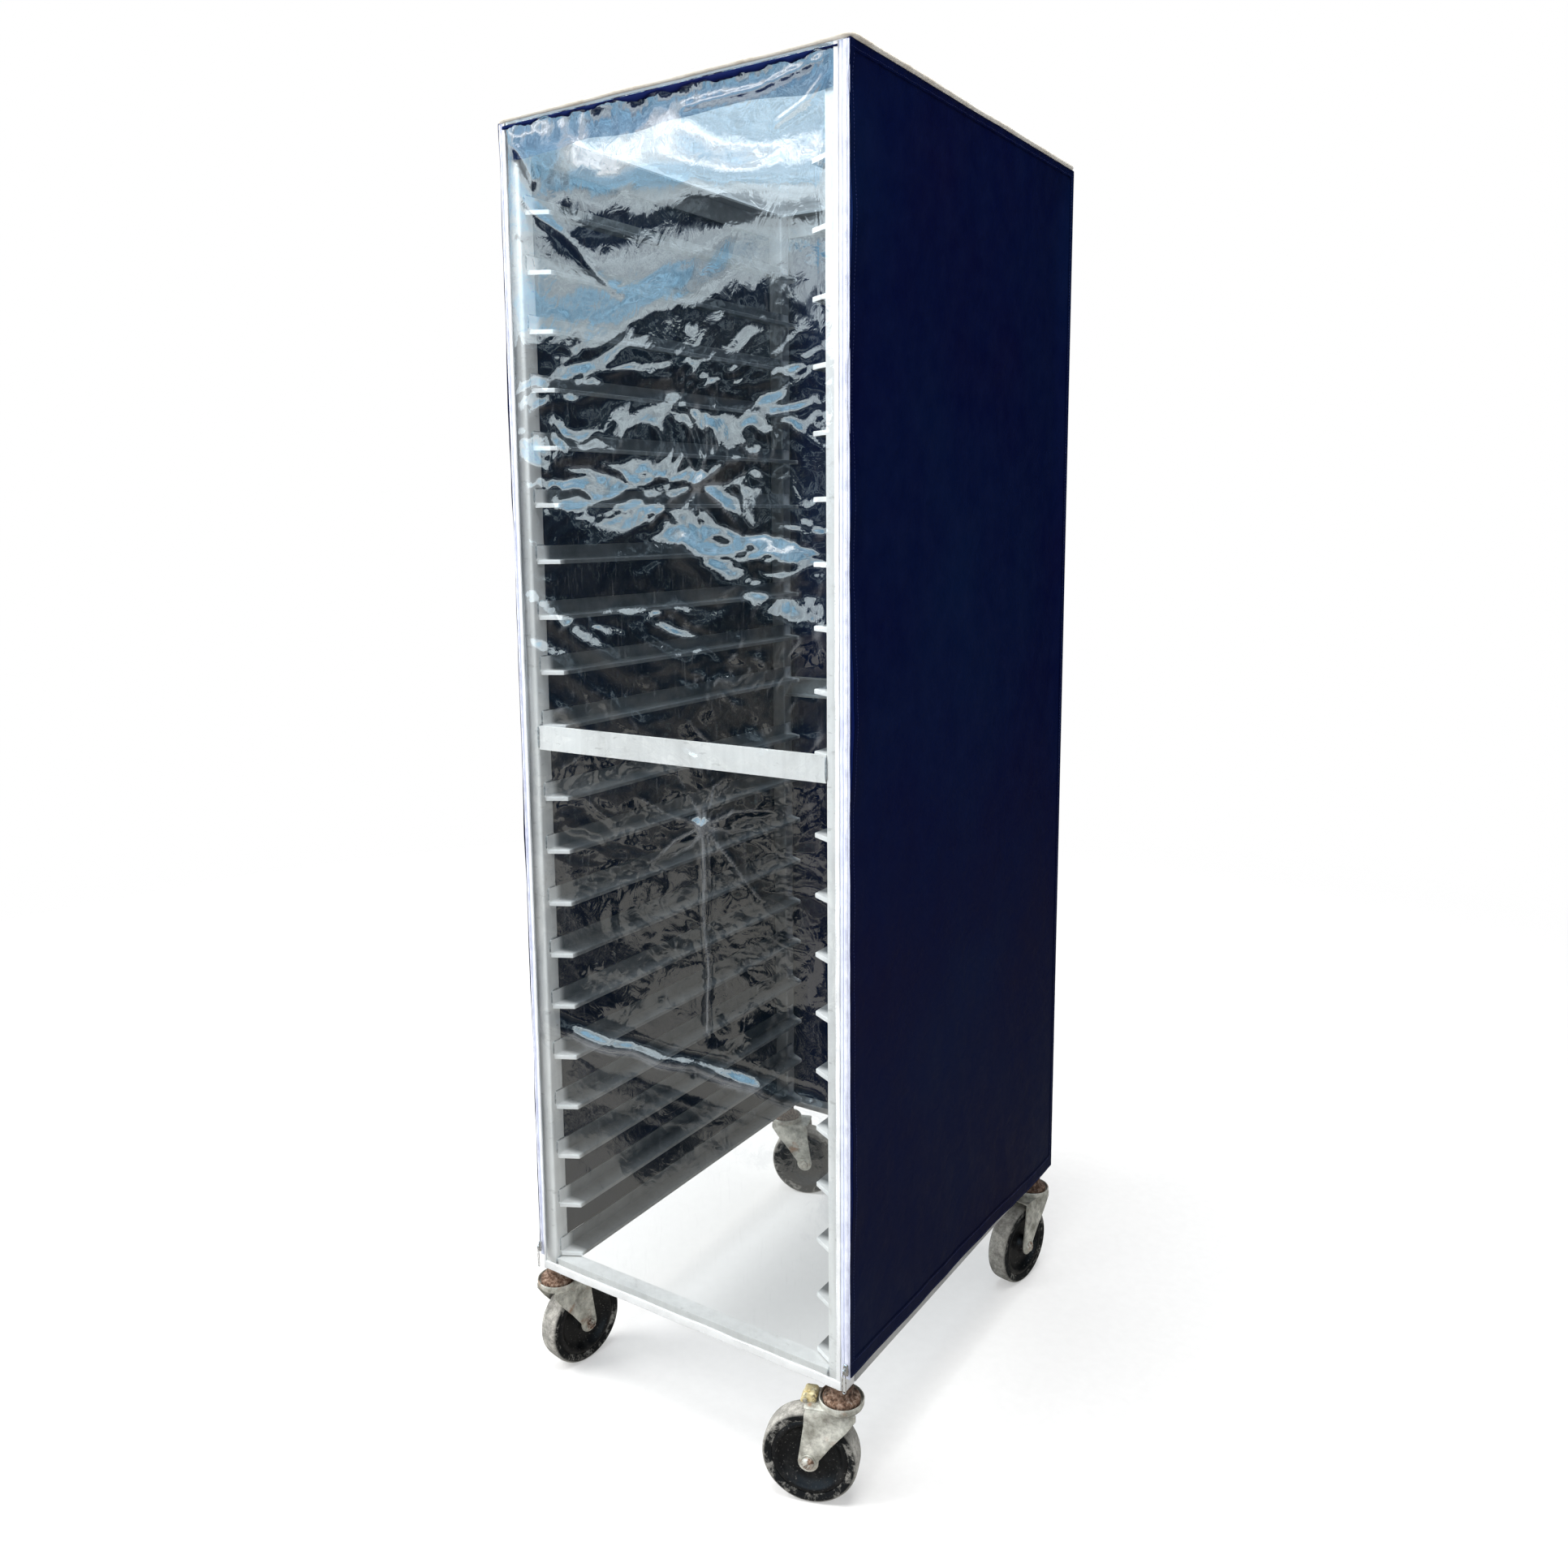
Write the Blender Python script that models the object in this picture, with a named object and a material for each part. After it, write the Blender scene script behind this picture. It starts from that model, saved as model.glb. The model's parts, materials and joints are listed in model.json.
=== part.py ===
"""Bun pan rack: an aluminium frame with twenty pairs of runners on four swivel casters, under a zip-up cover.

Metres, +Z up. The origin is on the floor under the middle of the rack, and the clear front panel faces -Y.
"""

import math

import bmesh
import bpy
from mathutils import Matrix, Vector

# ---------------------------------------------------------------- driving dimensions

GAP = 0.0003  # between pieces that touch

RACK_WIDTH = 0.5144  # 20 1/4 in
RACK_DEPTH = 0.6604  # 26 in
FRAME_TOP = 1.7750
FRAME_BOTTOM = 0.1650
POST = 0.0254  # square tube
POST_WALL = 0.0025

PAIRS = 20
PITCH = 0.0762  # 3 in between runners
TOP_RUNNER = 1.6690  # ledge height of the highest pair
MIDDLE_AFTER = 10  # runners above the middle crossbar
MIDDLE_EXTRA = 0.0254  # added to the pitch at the crossbar
LEDGE = 0.0300  # how far a ledge reaches in from the post
SHEET = 0.0020  # thickness of a runner
LEG_HEIGHT = 0.0190
LIP_HEIGHT = 0.0060
RUNNER_INSET = 0.0080  # from the post's front face to the runner's end
CORNER = 0.0120  # rounded inner corner of a ledge
EMBED = 0.0005  # depth of the weld between runner and post

RAIL_WALL = 0.0030
RAIL_FLANGE = 0.0240
TOP_RAIL_HEIGHT = 0.0340
BOTTOM_RAIL_HEIGHT = 0.0225
MIDDLE_TOP = 0.9830
MIDDLE_HEIGHT = 0.0330
MIDDLE_LIP = 0.0045

WHEEL_RADIUS = 0.0635  # 5 in wheel
TYRE_WIDTH = 0.0320
TYRE_INNER = 0.0503
RIM_RADIUS = 0.0500
TRAIL = 0.0400  # swivel axis to axle
BOLT_RADIUS = 0.0040
FORK_INSIDE = 0.0195
FORK_SHEET = 0.0030
FORK_TOP = 0.1397
DISH_RADIUS = 0.0300
DISH_TOP = 0.1445
CUP_RADIUS = 0.0265
PLATE_END = 0.0460  # of the fork's top plate, from the swivel axis
LEVER_PIN = 0.0455  # from the swivel axis
LEVER_PIN_RADIUS = 0.0011
LEVER_HALF = 0.0105
STEM_RADIUS = 0.0055
STEM_TOP = 0.2205

COVER_SIDE = RACK_WIDTH / 2 + 0.0140  # outer faces of the cover
COVER_FRONT = RACK_DEPTH / 2 + 0.0090
COVER_TOP = 1.7776
COVER_BOTTOM = 0.1920
FABRIC = 0.0016
VINYL = 0.0012
PIPING_RADIUS = 0.0030

FLAP_BOTTOM = 0.1720
FLAP_TOP = COVER_TOP - VINYL - GAP
BINDING = 0.0060
BINDING_THICK = 0.0020
FLAP_TAPE = 0.0044
SIDE_TAPE = 0.0086
TAPE_THICK = 0.0016
CHAIN_WIDE = 0.0044
CHAIN_MIDDLE = 0.0040  # from the side tape's inner edge
CHAIN_STANDS = 0.0009  # how far the closed coil stands out of the tape
SLIDER_LOW = 0.1990
SLIDER_HIGH = 0.2142
SLIDER_WIDE = 0.0074
SLIDER_DEEP = 0.0045
PULL_LENGTH = 0.0320
PULL_WIDE = 0.0062
PULL_THICK = 0.0014

POST_X = RACK_WIDTH / 2 - POST / 2
POST_Y = RACK_DEPTH / 2 - POST / 2
POST_INNER = RACK_WIDTH / 2 - POST

# corner name: side of the rack, end of the rack, direction in which the caster trails
CASTERS = {
    "front_right": (1, -1, 200.0),
    "front_left": (-1, -1, 80.0),
    "rear_right": (1, 1, 260.0),
    "rear_left": (-1, 1, 20.0),
}
BRAKED = ("front_right", "front_left")


# ---------------------------------------------------------------- modelling helpers


def clear_scene():
    for thing in list(bpy.data.objects):
        bpy.data.objects.remove(thing, do_unlink=True)


def surface(name, colour, roughness, metallic=0.0, alpha=1.0):
    made = bpy.data.materials.new(name)
    made.use_nodes = True
    shader = made.node_tree.nodes["Principled BSDF"]
    shader.inputs["Base Color"].default_value = (*colour, 1.0)
    shader.inputs["Roughness"].default_value = roughness
    shader.inputs["Metallic"].default_value = metallic
    shader.inputs["Alpha"].default_value = alpha
    return made


def add_object(name, bm, look, parent=None, smooth=False):
    """The bmesh as a named object. Its faces are turned to point out."""
    bmesh.ops.recalc_face_normals(bm, faces=bm.faces)
    mesh = bpy.data.meshes.new(name)
    bm.to_mesh(mesh)
    bm.free()
    mesh.materials.append(look)
    if smooth:
        mesh.shade_smooth()
        mesh.set_sharp_from_angle(angle=math.radians(35))
    thing = bpy.data.objects.new(name, mesh)
    bpy.context.scene.collection.objects.link(thing)
    thing.parent = parent
    return thing


def add_empty(name, place, turn=0.0, parent=None):
    thing = bpy.data.objects.new(name, None)
    bpy.context.scene.collection.objects.link(thing)
    thing.parent = parent
    thing.location = place
    thing.rotation_euler.z = math.radians(turn)
    return thing


def box(low, high):
    low = Vector(low)
    size = Vector(high) - low
    bm = bmesh.new()
    where = Matrix.Translation(low + size / 2) @ Matrix.Diagonal((*size, 1.0))
    bmesh.ops.create_cube(bm, size=1.0, matrix=where)
    return bm


def spanned_box(x, y, z):
    """A box from three (low, high) pairs, given in either order."""
    spans = [sorted(pair) for pair in (x, y, z)]
    return box([span[0] for span in spans], [span[1] for span in spans])


def extruded(outline, start, end, along="Y"):
    """A flat outline pushed along one axis. Its two numbers are X, Z along Y, and Y, Z along X."""
    bm = bmesh.new()
    if along == "Y":
        points = [(a, start, b) for a, b in outline]
        step = (0.0, end - start, 0.0)
    else:
        points = [(start, a, b) for a, b in outline]
        step = (end - start, 0.0, 0.0)
    face = bm.faces.new([bm.verts.new(point) for point in points])
    made = bmesh.ops.extrude_face_region(bm, geom=[face])["geom"]
    bmesh.ops.translate(bm, verts=[v for v in made if isinstance(v, bmesh.types.BMVert)], vec=step)
    return bm


def turned(profile, steps, closed, axis="Z"):
    """A profile of (radius, height) points spun round the axis. It is a ring if closed, else it ends on the axis."""
    bm = bmesh.new()
    points = [bm.verts.new((radius, 0.0, height)) for radius, height in profile]
    pairs = list(zip(points, points[1:]))
    if closed:
        pairs.append((points[-1], points[0]))
    edges = [bm.edges.new(pair) for pair in pairs]
    bmesh.ops.spin(
        bm, geom=points + edges, cent=(0, 0, 0), axis=(0, 0, 1), angle=2 * math.pi, steps=steps, use_merge=True
    )
    bmesh.ops.remove_doubles(bm, verts=bm.verts, dist=1e-6)
    if axis == "Y":
        bmesh.ops.rotate(bm, verts=bm.verts, cent=(0, 0, 0), matrix=Matrix.Rotation(math.radians(-90), 3, "X"))
    return bm


def plate_ring(outer, inner, start, end):
    """A flat rectangular ring in the XZ plane, from Y start to Y end. Each rectangle is (x low, z low, x high, z high)."""
    bm = bmesh.new()

    def corners(x0, z0, x1, z1):
        return [bm.verts.new((x, start, z)) for x, z in ((x0, z0), (x1, z0), (x1, z1), (x0, z1))]

    outside = corners(*outer)
    inside = corners(*inner)
    faces = []
    for i in range(4):
        j = (i + 1) % 4
        faces.append(bm.faces.new((outside[i], outside[j], inside[j], inside[i])))
    made = bmesh.ops.extrude_face_region(bm, geom=faces)["geom"]
    moved = [v for v in made if isinstance(v, bmesh.types.BMVert)]
    bmesh.ops.translate(bm, verts=moved, vec=(0.0, end - start, 0.0))
    return bm


def copy_into(target, source):
    """Adds one bmesh's geometry to another."""
    mesh = bpy.data.meshes.new("joined")
    source.to_mesh(mesh)
    source.free()
    target.from_mesh(mesh)
    bpy.data.meshes.remove(mesh)


def helper_object(name, bm, look):
    thing = add_object(name, bm, look)
    thing.hide_render = True
    thing.display_type = "WIRE"
    return thing


def boolean(thing, other, operation):
    modifier = thing.modifiers.new(other.name, "BOOLEAN")
    modifier.operation = operation
    modifier.object = other
    modifier.solver = "EXACT"


# ---------------------------------------------------------------- frame


def runner_height(index):
    extra = MIDDLE_EXTRA if index >= MIDDLE_AFTER else 0.0
    return TOP_RUNNER - index * PITCH - extra


def hollow_post(side, end):
    """A square tube, closed at the top and open at the foot for the caster's stem."""
    x = side * POST_X
    y = end * POST_Y
    half = POST / 2
    bm = box((x - half, y - half, FRAME_BOTTOM), (x + half, y + half, FRAME_TOP))
    foot = min(bm.faces, key=lambda face: face.calc_center_median().z)
    bmesh.ops.inset_region(bm, faces=[foot], thickness=POST_WALL)
    made = bmesh.ops.extrude_face_region(bm, geom=[foot])["geom"]
    raised = [v for v in made if isinstance(v, bmesh.types.BMVert)]
    bmesh.ops.translate(bm, verts=raised, vec=(0.0, 0.0, FRAME_TOP - FRAME_BOTTOM - POST_WALL))
    bmesh.ops.delete(bm, geom=[foot], context="FACES_ONLY")
    return bm


def runner_section(side, height, reach):
    """Eight points of a runner's section: leg up the post, ledge inwards, lip down. Reach is the ledge's width."""
    wall = POST_INNER + EMBED
    leg = POST_INNER - SHEET
    tip = POST_INNER - reach
    points = [
        (wall, height - SHEET),
        (wall, height + LEG_HEIGHT),
        (leg, height + LEG_HEIGHT),
        (leg, height),
        (tip, height),
        (tip, height - LIP_HEIGHT),
        (tip + SHEET, height - LIP_HEIGHT),
        (tip + SHEET, height - SHEET),
    ]
    return [(side * x, z) for x, z in points]


def runner(side, height):
    """A formed angle that runs from post to post, with its two inner corners cut round."""
    half = RACK_DEPTH / 2 - RUNNER_INSET
    round_in = LEDGE - CORNER
    stations = [
        (-half, round_in),
        (-half + CORNER * 0.3, round_in + CORNER * 0.7),
        (-half + CORNER, LEDGE),
        (half - CORNER, LEDGE),
        (half - CORNER * 0.3, round_in + CORNER * 0.7),
        (half, round_in),
    ]
    bm = bmesh.new()
    rings = []
    for y, reach in stations:
        section = runner_section(side, height, reach)
        rings.append([bm.verts.new((x, y, z)) for x, z in section])
    count = len(rings[0])
    for near, far in zip(rings, rings[1:]):
        for i in range(count):
            j = (i + 1) % count
            bm.faces.new((near[i], near[j], far[j], far[i]))
    bm.faces.new(rings[0])
    bm.faces.new(rings[-1])
    return bm


def side_frame(name, side, look):
    """Two posts with the twenty runners welded between them."""
    bm = hollow_post(side, -1)
    copy_into(bm, hollow_post(side, 1))
    frame = add_object(name, bm, look)
    runners = bmesh.new()
    for index in range(PAIRS):
        copy_into(runners, runner(side, runner_height(index)))
    boolean(frame, helper_object(name + "_runners", runners, look), "UNION")


def angle_outline(face, inwards, low, high, flange):
    """An angle's section: an upright leg whose outer face is at face, and a flange at its top."""
    return [
        (face, low),
        (face, high),
        (face + inwards * flange, high),
        (face + inwards * flange, high - RAIL_WALL),
        (face + inwards * RAIL_WALL, high - RAIL_WALL),
        (face + inwards * RAIL_WALL, low),
    ]


def end_rail(name, end, low, high, look):
    """A rail across the front or the back, between the posts."""
    reach = POST_INNER - GAP
    outline = angle_outline(end * RACK_DEPTH / 2, -end, low, high, RAIL_FLANGE)
    add_object(name, extruded(outline, -reach, reach, "X"), look)


def side_rail(name, side, low, high, look):
    """A rail along one side, between the front and the rear post."""
    reach = RACK_DEPTH / 2 - POST - GAP
    outline = angle_outline(side * RACK_WIDTH / 2, -side, low, high, RAIL_FLANGE)
    add_object(name, extruded(outline, -reach, reach, "Y"), look)


def middle_crossbar(name, end, look):
    """A channel across the rack under the tenth pair: a short lip at its top and a wide flange at its foot."""
    face = end * RACK_DEPTH / 2
    low = MIDDLE_TOP - MIDDLE_HEIGHT
    outline = [
        (face, low),
        (face, MIDDLE_TOP),
        (face - end * (RAIL_WALL + MIDDLE_LIP), MIDDLE_TOP),
        (face - end * (RAIL_WALL + MIDDLE_LIP), MIDDLE_TOP - RAIL_WALL),
        (face - end * RAIL_WALL, MIDDLE_TOP - RAIL_WALL),
        (face - end * RAIL_WALL, low + RAIL_WALL),
        (face - end * RAIL_FLANGE, low + RAIL_WALL),
        (face - end * RAIL_FLANGE, low),
    ]
    reach = POST_INNER - GAP
    add_object(name, extruded(outline, -reach, reach, "X"), look)


def build_frame(look):
    side_frame("left_side_frame", -1, look)
    side_frame("right_side_frame", 1, look)
    top_low = FRAME_TOP - TOP_RAIL_HEIGHT
    bottom_high = FRAME_BOTTOM + BOTTOM_RAIL_HEIGHT
    for word, end in (("front", -1), ("rear", 1)):
        end_rail(f"top_{word}_rail", end, top_low, FRAME_TOP, look)
        end_rail(f"bottom_{word}_rail", end, FRAME_BOTTOM, bottom_high, look)
        middle_crossbar(f"middle_{word}_crossbar", end, look)
    for word, side in (("left", -1), ("right", 1)):
        side_rail(f"top_{word}_rail", side, top_low, FRAME_TOP, look)
        side_rail(f"bottom_{word}_rail", side, FRAME_BOTTOM, bottom_high, look)


# ---------------------------------------------------------------- casters


def stem(name, parent, look):
    """Kingpin head, upper raceway cup, collar and the stem that goes up into the post."""
    profile = [
        (0.0, 0.1298),
        (0.0065, 0.1298),
        (0.0090, 0.1318),
        (0.0090, 0.1362),
        (0.0064, 0.1362),
        (0.0064, FORK_TOP + GAP),
        (CUP_RADIUS, FORK_TOP + GAP),
        (CUP_RADIUS, 0.1490),
        (0.0225, 0.1560),
        (0.0115, 0.1585),
        (0.0115, FRAME_BOTTOM - GAP),
        (STEM_RADIUS, FRAME_BOTTOM - GAP),
        (STEM_RADIUS, STEM_TOP),
        (0.0, STEM_TOP),
    ]
    add_object(name, turned(profile, 16, closed=False), look, parent, smooth=True)


def expander(name, parent, look):
    """The rubber sleeve that the stem's nut squeezes against the inside of the post."""
    inner = STEM_RADIUS + GAP
    outer = POST / 2 - POST_WALL - GAP
    profile = [(inner, 0.1700), (outer, 0.1700), (outer, 0.2120), (inner, 0.2120)]
    add_object(name, turned(profile, 12, closed=True), look, parent, smooth=True)


def fork_leg(side):
    """One cheek of the fork: wide under the top plate, narrowing to a round boss at the axle."""
    boss = 0.0135
    outline = [
        (-0.0210, 0.1280),
        (-0.0210, FORK_TOP - FORK_SHEET / 2),
        (0.0425, FORK_TOP - FORK_SHEET / 2),
        (0.0450, 0.1180),
    ]
    for step in range(7):
        turn = math.radians(8 - 33 * step)
        outline.append((TRAIL + boss * math.cos(turn), WHEEL_RADIUS + boss * math.sin(turn)))
    near = side * FORK_INSIDE
    far = side * (FORK_INSIDE + FORK_SHEET)
    return extruded(outline, near, far, "Y")


def lever_pin_height():
    return FORK_TOP + 0.0029


def lever_holder():
    """Two ears on the fork's top plate and the brake lever's pin between them."""
    near = LEVER_HALF + 0.0004
    far = near + 0.0020
    low = FORK_TOP - 0.0020
    high = lever_pin_height() + 0.0019
    pieces = {}
    for word, side in (("ear_a", 1), ("ear_b", -1)):
        pieces[word] = spanned_box((LEVER_PIN - 0.0030, LEVER_PIN + 0.0030), (side * near, side * far), (low, high))
    reach = near + 0.0010
    pin = turned([(0.0, -reach), (LEVER_PIN_RADIUS, -reach), (LEVER_PIN_RADIUS, reach), (0.0, reach)],
                 10, closed=False, axis="Y")
    bmesh.ops.translate(pin, verts=pin.verts, vec=(LEVER_PIN, 0.0, lever_pin_height()))
    pieces["lever_pin"] = pin
    return pieces


def fork(name, parent, look, braked):
    """Lower raceway dish, top plate and two cheeks, pressed from one sheet."""
    hole = 0.0070
    dish = [
        (hole, FORK_TOP - FORK_SHEET),
        (DISH_RADIUS, FORK_TOP - FORK_SHEET),
        (DISH_RADIUS, DISH_TOP),
        (DISH_RADIUS - 0.0028, DISH_TOP),
        (DISH_RADIUS - 0.0028, FORK_TOP),
        (hole, FORK_TOP),
    ]
    made = add_object(name, turned(dish, 24, closed=True), look, parent, smooth=True)
    half = FORK_INSIDE + FORK_SHEET
    plate = box((0.0120, -half, FORK_TOP - FORK_SHEET), (PLATE_END, half, FORK_TOP - 0.0002))
    pieces = {"plate": plate, "leg_a": fork_leg(1), "leg_b": fork_leg(-1)}
    if braked:
        pieces.update(lever_holder())
    for word, bm in pieces.items():
        helper = helper_object(f"{name}_{word}", bm, look)
        helper.parent = parent
        boolean(made, helper, "UNION")
    drill = turned([(0.0, -half * 2), (BOLT_RADIUS + GAP, -half * 2), (BOLT_RADIUS + GAP, half * 2), (0.0, half * 2)],
                   12, closed=False, axis="Y")
    bmesh.ops.recalc_face_normals(drill, faces=drill.faces)
    bmesh.ops.translate(drill, verts=drill.verts, vec=(TRAIL, 0.0, WHEEL_RADIUS))
    cutter = helper_object(f"{name}_drill", drill, look)
    cutter.parent = parent
    boolean(made, cutter, "DIFFERENCE")


def axle_bolt(name, parent, look):
    """Bolt through the fork, with its head on one cheek and its nut on the other."""
    cheek = FORK_INSIDE + FORK_SHEET + GAP
    profile = [
        (0.0, -cheek - 0.0070),
        (BOLT_RADIUS, -cheek - 0.0070),
        (BOLT_RADIUS, -cheek - 0.0050),
        (0.0070, -cheek - 0.0050),
        (0.0070, -cheek),
        (BOLT_RADIUS, -cheek),
        (BOLT_RADIUS, cheek),
        (0.0080, cheek),
        (0.0075, cheek + 0.0030),
        (0.0, cheek + 0.0045),
    ]
    add_object(name, turned(profile, 12, closed=False, axis="Y"), look, parent, smooth=True)


def bushing(name, parent, look):
    """Steel sleeve on the bolt, clamped between the cheeks. The wheel turns on it."""
    inner = BOLT_RADIUS + GAP
    outer = 0.0060
    half = FORK_INSIDE - GAP
    profile = [(inner, -half), (outer, -half), (outer, half), (inner, half)]
    add_object(name, turned(profile, 16, closed=True, axis="Y"), look, parent, smooth=True)


def wheel_core(name, parent, look):
    """Hub, dished web and rim, moulded in one."""
    right_half = [(0.0060 + GAP, 0.0170), (0.0110, 0.0170), (0.0150, 0.0060), (0.0370, 0.0045), (0.0440, 0.0130)]
    right_half.append((RIM_RADIUS, 0.0145))
    profile = right_half + [(radius, -y) for radius, y in reversed(right_half)]
    add_object(name, turned(profile, 28, closed=True, axis="Y"), look, parent, smooth=True)


def tyre(name, parent, look):
    half = TYRE_WIDTH / 2
    right_half = [(TYRE_INNER, half - 0.0010), (0.0585, half), (WHEEL_RADIUS, half - 0.0040)]
    profile = right_half + [(radius, -y) for radius, y in reversed(right_half)]
    add_object(name, turned(profile, 28, closed=True, axis="Y"), look, parent, smooth=True)


def brake_lever(name, parent, look):
    """A pressed lever that rocks on the trailing end of the fork's top plate. Its origin is its pin."""
    outline = [
        (-0.0130, -0.0026),
        (-0.0130, 0.0160),
        (-0.0100, 0.0180),
        (0.0040, 0.0180),
        (0.0065, 0.0045),
        (0.0210, 0.0015),
        (0.0210, -0.0026),
    ]
    lever = add_object(name, extruded(outline, -LEVER_HALF, LEVER_HALF, "Y"), look, parent)
    hole = LEVER_PIN_RADIUS + GAP
    reach = 2 * LEVER_HALF
    drill = turned([(0.0, -reach), (hole, -reach), (hole, reach), (0.0, reach)], 10, closed=False, axis="Y")
    cutter = helper_object(name + "_drill", drill, look)
    cutter.parent = parent
    boolean(lever, cutter, "DIFFERENCE")


def build_caster(corner, side, end, trails, looks):
    """A stem caster. Its empty stands on the swivel axis, with its own X axis towards the wheel."""
    swivel = add_empty(corner + "_swivel_axis", (side * POST_X, end * POST_Y, 0.0), trails)
    axle = add_empty(corner + "_wheel_axis", (TRAIL, 0.0, WHEEL_RADIUS), parent=swivel)
    stem(corner + "_caster_stem", swivel, looks["rusty steel"])
    expander(corner + "_stem_expander", swivel, looks["black rubber"])
    fork(corner + "_fork", swivel, looks["galvanised"], corner in BRAKED)
    axle_bolt(corner + "_axle_bolt", axle, looks["rusty steel"])
    bushing(corner + "_wheel_bushing", axle, looks["galvanised"])
    wheel_core(corner + "_wheel_core", axle, looks["black plastic"])
    tyre(corner + "_tyre", axle, looks["worn tyre"])
    if corner in BRAKED:
        pin = add_empty(corner + "_brake_pin", (LEVER_PIN, 0.0, lever_pin_height()), parent=swivel)
        brake_lever(corner + "_brake_lever", pin, looks["yellow zinc"])


# ---------------------------------------------------------------- cover


def piping(name, x, y, look):
    """A straight length of piping on a top edge. One of x and y is a span, the other a single place."""
    height = COVER_TOP + GAP + PIPING_RADIUS
    outline = []
    for step in range(8):
        turn = math.radians(22.5 + 45 * step)
        outline.append((math.cos(turn) * PIPING_RADIUS, height + math.sin(turn) * PIPING_RADIUS))
    if isinstance(x, tuple):
        bm = extruded([(y + a, b) for a, b in outline], x[0], x[1], "X")
    else:
        bm = extruded([(x + a, b) for a, b in outline], y[0], y[1], "Y")
    add_object(name, bm, look, smooth=True)


def build_panels(navy, clear, cream):
    """The fixed part of the cover: two sides, the back, the clear top and the piping round its edge."""
    inner_x = COVER_SIDE - FABRIC
    back_inner = COVER_FRONT - FABRIC
    tall = (COVER_BOTTOM, COVER_TOP)
    for word, side in (("left", -1), ("right", 1)):
        bm = spanned_box((side * inner_x, side * COVER_SIDE), (-COVER_FRONT, COVER_FRONT), tall)
        add_object(f"{word}_cover_panel", bm, navy)
    reach = inner_x - GAP
    add_object("back_cover_panel", box((-reach, back_inner, tall[0]), (reach, COVER_FRONT, tall[1])), navy)
    front = COVER_FRONT - BINDING_THICK
    low = COVER_TOP - VINYL
    add_object("top_cover_panel", box((-reach, -front, low), (reach, back_inner - GAP, COVER_TOP)), clear)
    side_x = COVER_SIDE - PIPING_RADIUS
    side_y = COVER_FRONT - PIPING_RADIUS
    across = side_x - PIPING_RADIUS - GAP
    piping("front_top_piping", (-across, across), -side_y, cream)
    piping("back_top_piping", (-across, across), side_y, cream)
    piping("left_top_piping", -side_x, (-side_y, side_y), cream)
    piping("right_top_piping", side_x, (-side_y, side_y), cream)


def upright(outline, low, high):
    """A flat outline of X, Y points pushed upwards from low to high."""
    bm = bmesh.new()
    face = bm.faces.new([bm.verts.new((x, y, low)) for x, y in outline])
    made = bmesh.ops.extrude_face_region(bm, geom=[face])["geom"]
    top = [v for v in made if isinstance(v, bmesh.types.BMVert)]
    bmesh.ops.translate(bm, verts=top, vec=(0.0, 0.0, high - low))
    return bm


def flap_tape(name, side, inner, look):
    """The flap's half of a zipper: a plain tape from its inner edge outwards."""
    front = -COVER_FRONT
    far = inner + FLAP_TAPE
    outline = [(inner, front), (far, front), (far, front + TAPE_THICK), (inner, front + TAPE_THICK)]
    add_object(name, upright([(side * x, y) for x, y in outline], COVER_BOTTOM, FLAP_TOP), look)


def side_tape(name, side, inner, look):
    """The side panel's half of a zipper. It carries the closed coil as a raised rib."""
    front = -COVER_FRONT
    near = inner + CHAIN_MIDDLE - CHAIN_WIDE / 2
    far = near + CHAIN_WIDE
    outline = [
        (inner, front),
        (near, front),
        (near, front - CHAIN_STANDS),
        (far, front - CHAIN_STANDS),
        (far, front),
        (inner + SIDE_TAPE, front),
        (inner + SIDE_TAPE, front + TAPE_THICK),
        (inner, front + TAPE_THICK),
    ]
    add_object(name, upright([(side * x, y) for x, y in outline], COVER_BOTTOM, FLAP_TOP), look)


def slider(name, middle, look):
    """Zipper slider, with a hook in front that holds the pull's upper bar."""
    front = -COVER_FRONT - CHAIN_STANDS - GAP
    half = SLIDER_WIDE / 2
    bm = spanned_box((middle - half, middle + half), (front, front - SLIDER_DEEP), (SLIDER_LOW, SLIDER_HIGH))
    made = add_object(name, bm, look)
    face = front - SLIDER_DEEP
    low = SLIDER_LOW + 0.0052
    outline = [
        (face + 0.0010, low + 0.0050),
        (face + 0.0010, low + 0.0070),
        (face - 0.0045, low + 0.0070),
        (face - 0.0045, low),
        (face - 0.0030, low),
        (face - 0.0030, low + 0.0050),
    ]
    hook = helper_object(name + "_hook", extruded(outline, middle - 0.0012, middle + 0.0012, "X"), look)
    boolean(made, hook, "UNION")


def pull(name, middle, look):
    """A wire loop that hangs on the slider's hook. Its pin is the middle of its upper bar."""
    bar = -COVER_FRONT - CHAIN_STANDS - GAP - SLIDER_DEEP - 0.0015
    pin = add_empty(name + "_pin", (middle, bar, SLIDER_LOW + 0.0085))
    half = PULL_WIDE / 2
    wire = 0.0013
    outer = (-half, -PULL_LENGTH, half, wire / 2)
    inner = (-half + wire, -PULL_LENGTH + wire, half - wire, -wire / 2)
    add_object(name, plate_ring(outer, inner, -PULL_THICK / 2, PULL_THICK / 2), look, pin)


def build_flap(bound, clear, white):
    """The clear front panel, sewn at its top edge and bound all round. Bound is the binding's outer edge."""
    window = bound - BINDING
    top = FLAP_TOP - BINDING
    bottom = FLAP_BOTTOM + 2 * BINDING
    front = -COVER_FRONT
    outer = (-bound, FLAP_BOTTOM, bound, FLAP_TOP)
    inner = (-window, bottom, window, top)
    add_object("front_panel_binding", plate_ring(outer, inner, front, front + BINDING_THICK), white)
    low = (-window + GAP, front + 0.0004, bottom + GAP)
    high = (window - GAP, front + 0.0004 + VINYL, top - GAP)
    add_object("front_clear_panel", box(low, high), clear)


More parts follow.
